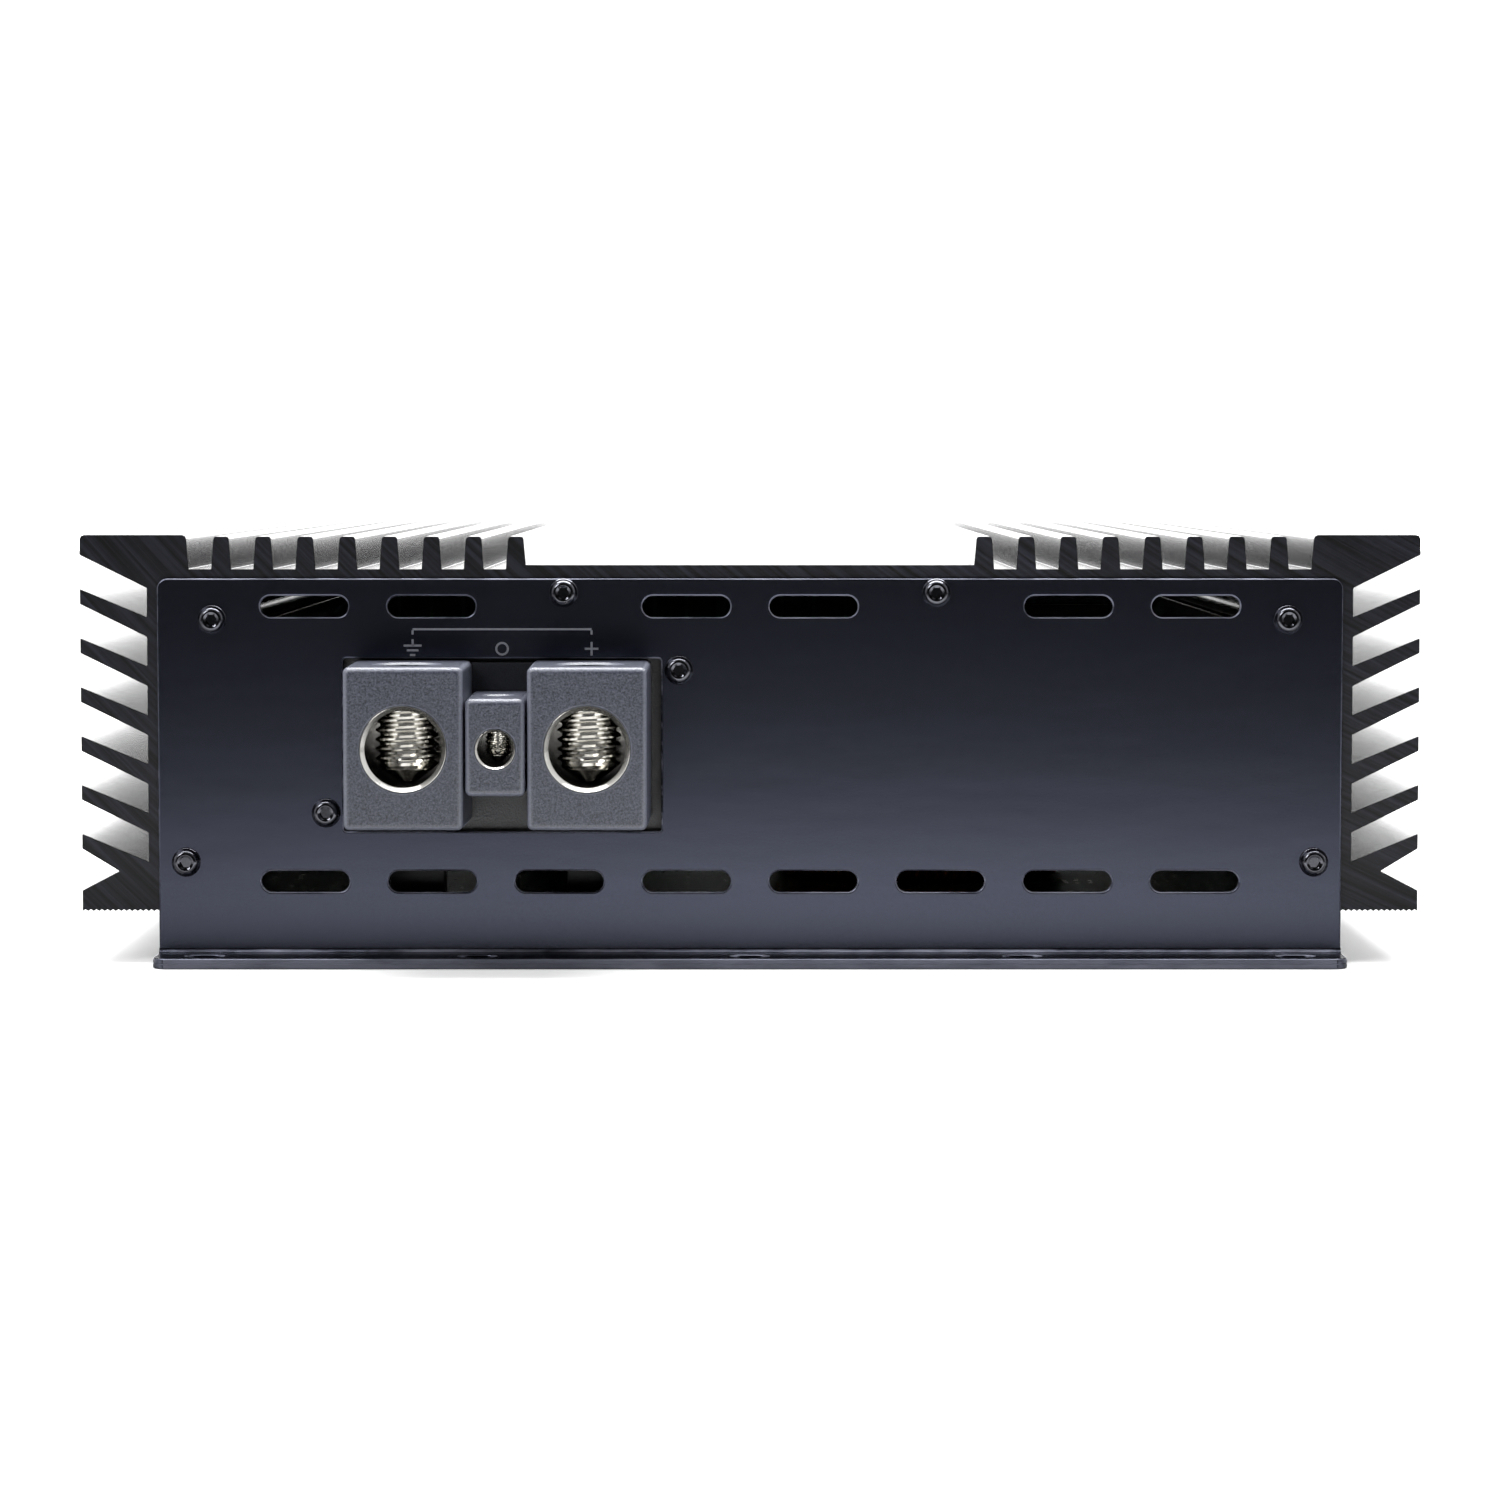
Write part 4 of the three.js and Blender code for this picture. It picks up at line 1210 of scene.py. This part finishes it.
def signal_marks():
    """Dial scales, signs over the speaker terminals, a short bar at each end of the switch, and a ring by
    the lamp.
    """
    marks = []
    for name in KNOBS:
        marks += dial_ticks(local_x(name + "_knob"), PANEL_AXIS, 7.2 * MM)
    row = TERMINAL_AXIS + MIDDLE.up + 3.4 * MM
    marks += sign_mark(local_x("speaker_negative_barrel"), row, False)
    marks += sign_mark(local_x("speaker_positive_barrel"), row, True)
    switch = local_x("phase_switch_body")
    for side in (-1, 1):
        marks.append(mark_bar(switch + side * 2.2 * MM, PANEL_AXIS + 4.4 * MM, 0.35 * MM, 1.2 * MM))
    lamp = local_x("status_light")
    marks.append(mark_ring(lamp, PANEL_AXIS + 5.2 * MM, 1.2 * MM, 0.35 * MM))
    mesh = merged("signal_marks", marks)
    mesh.transform(HALF_TURN)
    new_piece("signal_marks", mesh, "chassis", "printed_ink")


# ------------------------------------------------------------------ electronics
def wound_core(node, inner, turns):
    """A ring core covered by turns of wire: each turn is one ridge round the section."""
    low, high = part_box(node)
    outer = (high.y - low.y) / 2
    height = high.z - low.z
    corner = 3.0 * MM
    wire = 0.45 * MM

    def section(share):
        ridge = wire * abs(math.sin(math.pi * share * turns))
        r = corner - wire + ridge
        near, far = inner + corner, outer - corner
        points = arc((near, corner), r, 180, 270, 3) + arc((far, corner), r, 270, 360, 3)
        points += arc((far, height - corner), r, 0, 90, 3) + arc((near, height - corner), r, 90, 180, 3)
        return points

    mesh = ring(node + "_wound", section, turns * 6)
    new_piece(node + "_wound", mesh, "chassis", "copper_winding", foot_of(node), [node], 80)


def can_capacitor(node):
    """A sleeved can with a rolled groove near its foot and a cross scored in its top."""
    low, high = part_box(node)
    radius = (high.y - low.y) / 2
    height = high.z - low.z
    profile = [(0, 0)]
    profile += arc((radius - 0.5 * MM, 0.5 * MM), 0.5 * MM, -90, 0, 3)
    profile += [(radius, 2 * MM)] + arc((radius + 0.2 * MM, 3 * MM), MM, 250, 110, 6)
    profile += [(radius, 4 * MM)]
    profile += arc((radius - MM, height - MM), MM, 0, 90, 5)
    profile += [(radius - 1.6 * MM, height - 0.5 * MM), (0, height - 0.5 * MM)]
    steps = []
    for sizes in (mm(6, 0.25), mm(0.25, 6)):
        low_corner = (-sizes[0], -sizes[1], height - 0.9 * MM)
        high_corner = (sizes[0], sizes[1], height + MM)
        steps.append((CUT, box_mesh("score", low_corner, high_corner)))
    mesh = combine(node + "_can", lathe(node + "_can", profile, 64), steps)
    new_piece(node + "_can", mesh, "chassis", "capacitor_sleeve", foot_of(node), [node], 35)


# ------------------------------------------------------------------ stage, light and camera
def floor():
    """A pale table, see-through from below. In reflections only the part near the amplifier is bright."""
    s = Shader("floor")
    split = s.add("SeparateXYZ", Vector=s.position())
    along = split.outputs["Y"]
    aside = s.math("ABSOLUTE", s.math("SUBTRACT", split.outputs["X"], 0.03))
    near = s.remap(along, 0.0, 1.22, -0.59, -0.3)
    near = s.math("MULTIPLY", near, s.remap(aside, 1.0, 0.3, 0.03, 0.3))
    # The strip just in front of the flange lies in the amplifier's own shade.
    before = s.remap(along, 1.0, 0.25, -0.265, -0.205)
    after = s.remap(along, 0.0, 1.0, -0.19, -0.15)
    near = s.math("MULTIPLY", near, s.math("MAXIMUM", before, after))
    direct = s.add("LightPath").outputs["Is Camera Ray"]
    share = s.math("MAXIMUM", near, direct)
    white = s.mix(s.noise(3.0, 2.0), (0.86, 0.86, 0.86, 1), (0.88, 0.88, 0.88, 1))
    s.set(
        Base_Color=s.mix(share, (0.02, 0.02, 0.02, 1), white),
        Roughness=0.6,
        Alpha=s.math("SUBTRACT", 1.0, s.add("NewGeometry").outputs["Backfacing"]),
        Emission_Color=(1, 1, 1, 1),
        Emission_Strength=s.math("MULTIPLY", direct, 0.4),
    )
    reach = 4
    drop = -0.05 * MM
    corners = [(x * reach, y * reach, drop) for x, y in ((-1, -1), (1, -1), (1, 1), (-1, 1))]
    mesh = mesh_from("floor", corners, [(0, 1, 2, 3)])
    mesh.materials.append(s.material)
    plane = bpy.data.objects.new("floor", mesh)
    bpy.context.scene.collection.objects.link(plane)


def room():
    """White to the eye. In reflections it is bright behind and beside the amplifier and dark in front."""
    s = Shader("room", "worlds", "Background")
    bpy.context.scene.world = s.material
    along = s.add("SeparateXYZ", Vector=s.add("TexCoord").outputs["Generated"]).outputs["Y"]
    glow = s.math("ADD", s.remap(along, 0.015, 1.0, -0.75, 0.0), s.remap(along, 0.0, 2.6, 0.7, 1.0))
    direct = s.add("LightPath").outputs["Is Camera Ray"]
    s.set(Strength=s.math("MAXIMUM", glow, direct), Color=(1, 1, 1, 1))


def area_light(name, place, target, size, energy):
    data = bpy.data.lights.new(name, "AREA")
    data.shape = "RECTANGLE"
    data.size, data.size_y = size
    data.energy = energy
    light = bpy.data.objects.new(name, data)
    bpy.context.scene.collection.objects.link(light)
    light.location = place
    light.rotation_euler = (Vector(target) - Vector(place)).to_track_quat("-Z", "Y").to_euler()


def camera():
    """Low and straight in front of the power end, about 0.87 m from its plate."""
    data = bpy.data.cameras.new("camera")
    data.lens = 109.45
    data.sensor_width = 36
    data.clip_start = 0.01
    view = bpy.data.objects.new("camera", data)
    bpy.context.scene.collection.objects.link(view)
    view.location = (0, PLATE_FACE - 0.866, 0.0948)
    view.rotation_euler = (math.radians(90 - 3.58), 0, 0)
    bpy.context.scene.camera = view


# ------------------------------------------------------------------ assembly
# Rounding and its steps for the solids that stay in view; the others are drawn again.
BEVELS = {
    "heatsink": (0.14 * MM, 2),
    "control_board": (0.1 * MM, 1),
    "main_circuit_board": (0.1 * MM, 1),
    "phase_switch_body": (0.15 * MM, 2),
    "phase_switch_slider": (0.25 * MM, 3),
    "remote_level_port": (0.25 * MM, 3),
}
for node_name in nodes:
    if node_name.startswith("transistor"):
        BEVELS[node_name] = (0.2 * MM, 2)

for node_name in nodes:
    dress_node(node_name, *BEVELS.get(node_name, (0.0, 0)))
end_plate("power_end_plate", power_openings())
end_plate("signal_end_plate", signal_openings())
bottom_cover()
fasteners()
terminal_housing("power_terminal_housing", ("gnd", "remote", "positive"), EARS)
terminal_housing("speaker_terminal_housing", ("speaker_negative", "speaker_positive"), ())
barrels()
terminal_screws()
pressure_pads()
knobs()
phono_jacks()
status_lamp()
power_marks()
signal_marks()
wound_core("power_transformer", 10 * MM, 96)
wound_core("output_inductor", 8 * MM, 60)
for can in ("capacitor_front", "capacitor_rear"):
    can_capacitor(can)

floor()
room()
area_light("overhead", (0, 0.05, 1.0), (0, 0, 0), (1.3, 0.6), 26)
area_light("front_left", (-1.2, -1.3, 1.3), (0, 0, 0.04), (0.8, 0.8), 16)
camera()
bpy.context.scene.view_settings.view_transform = "Standard"
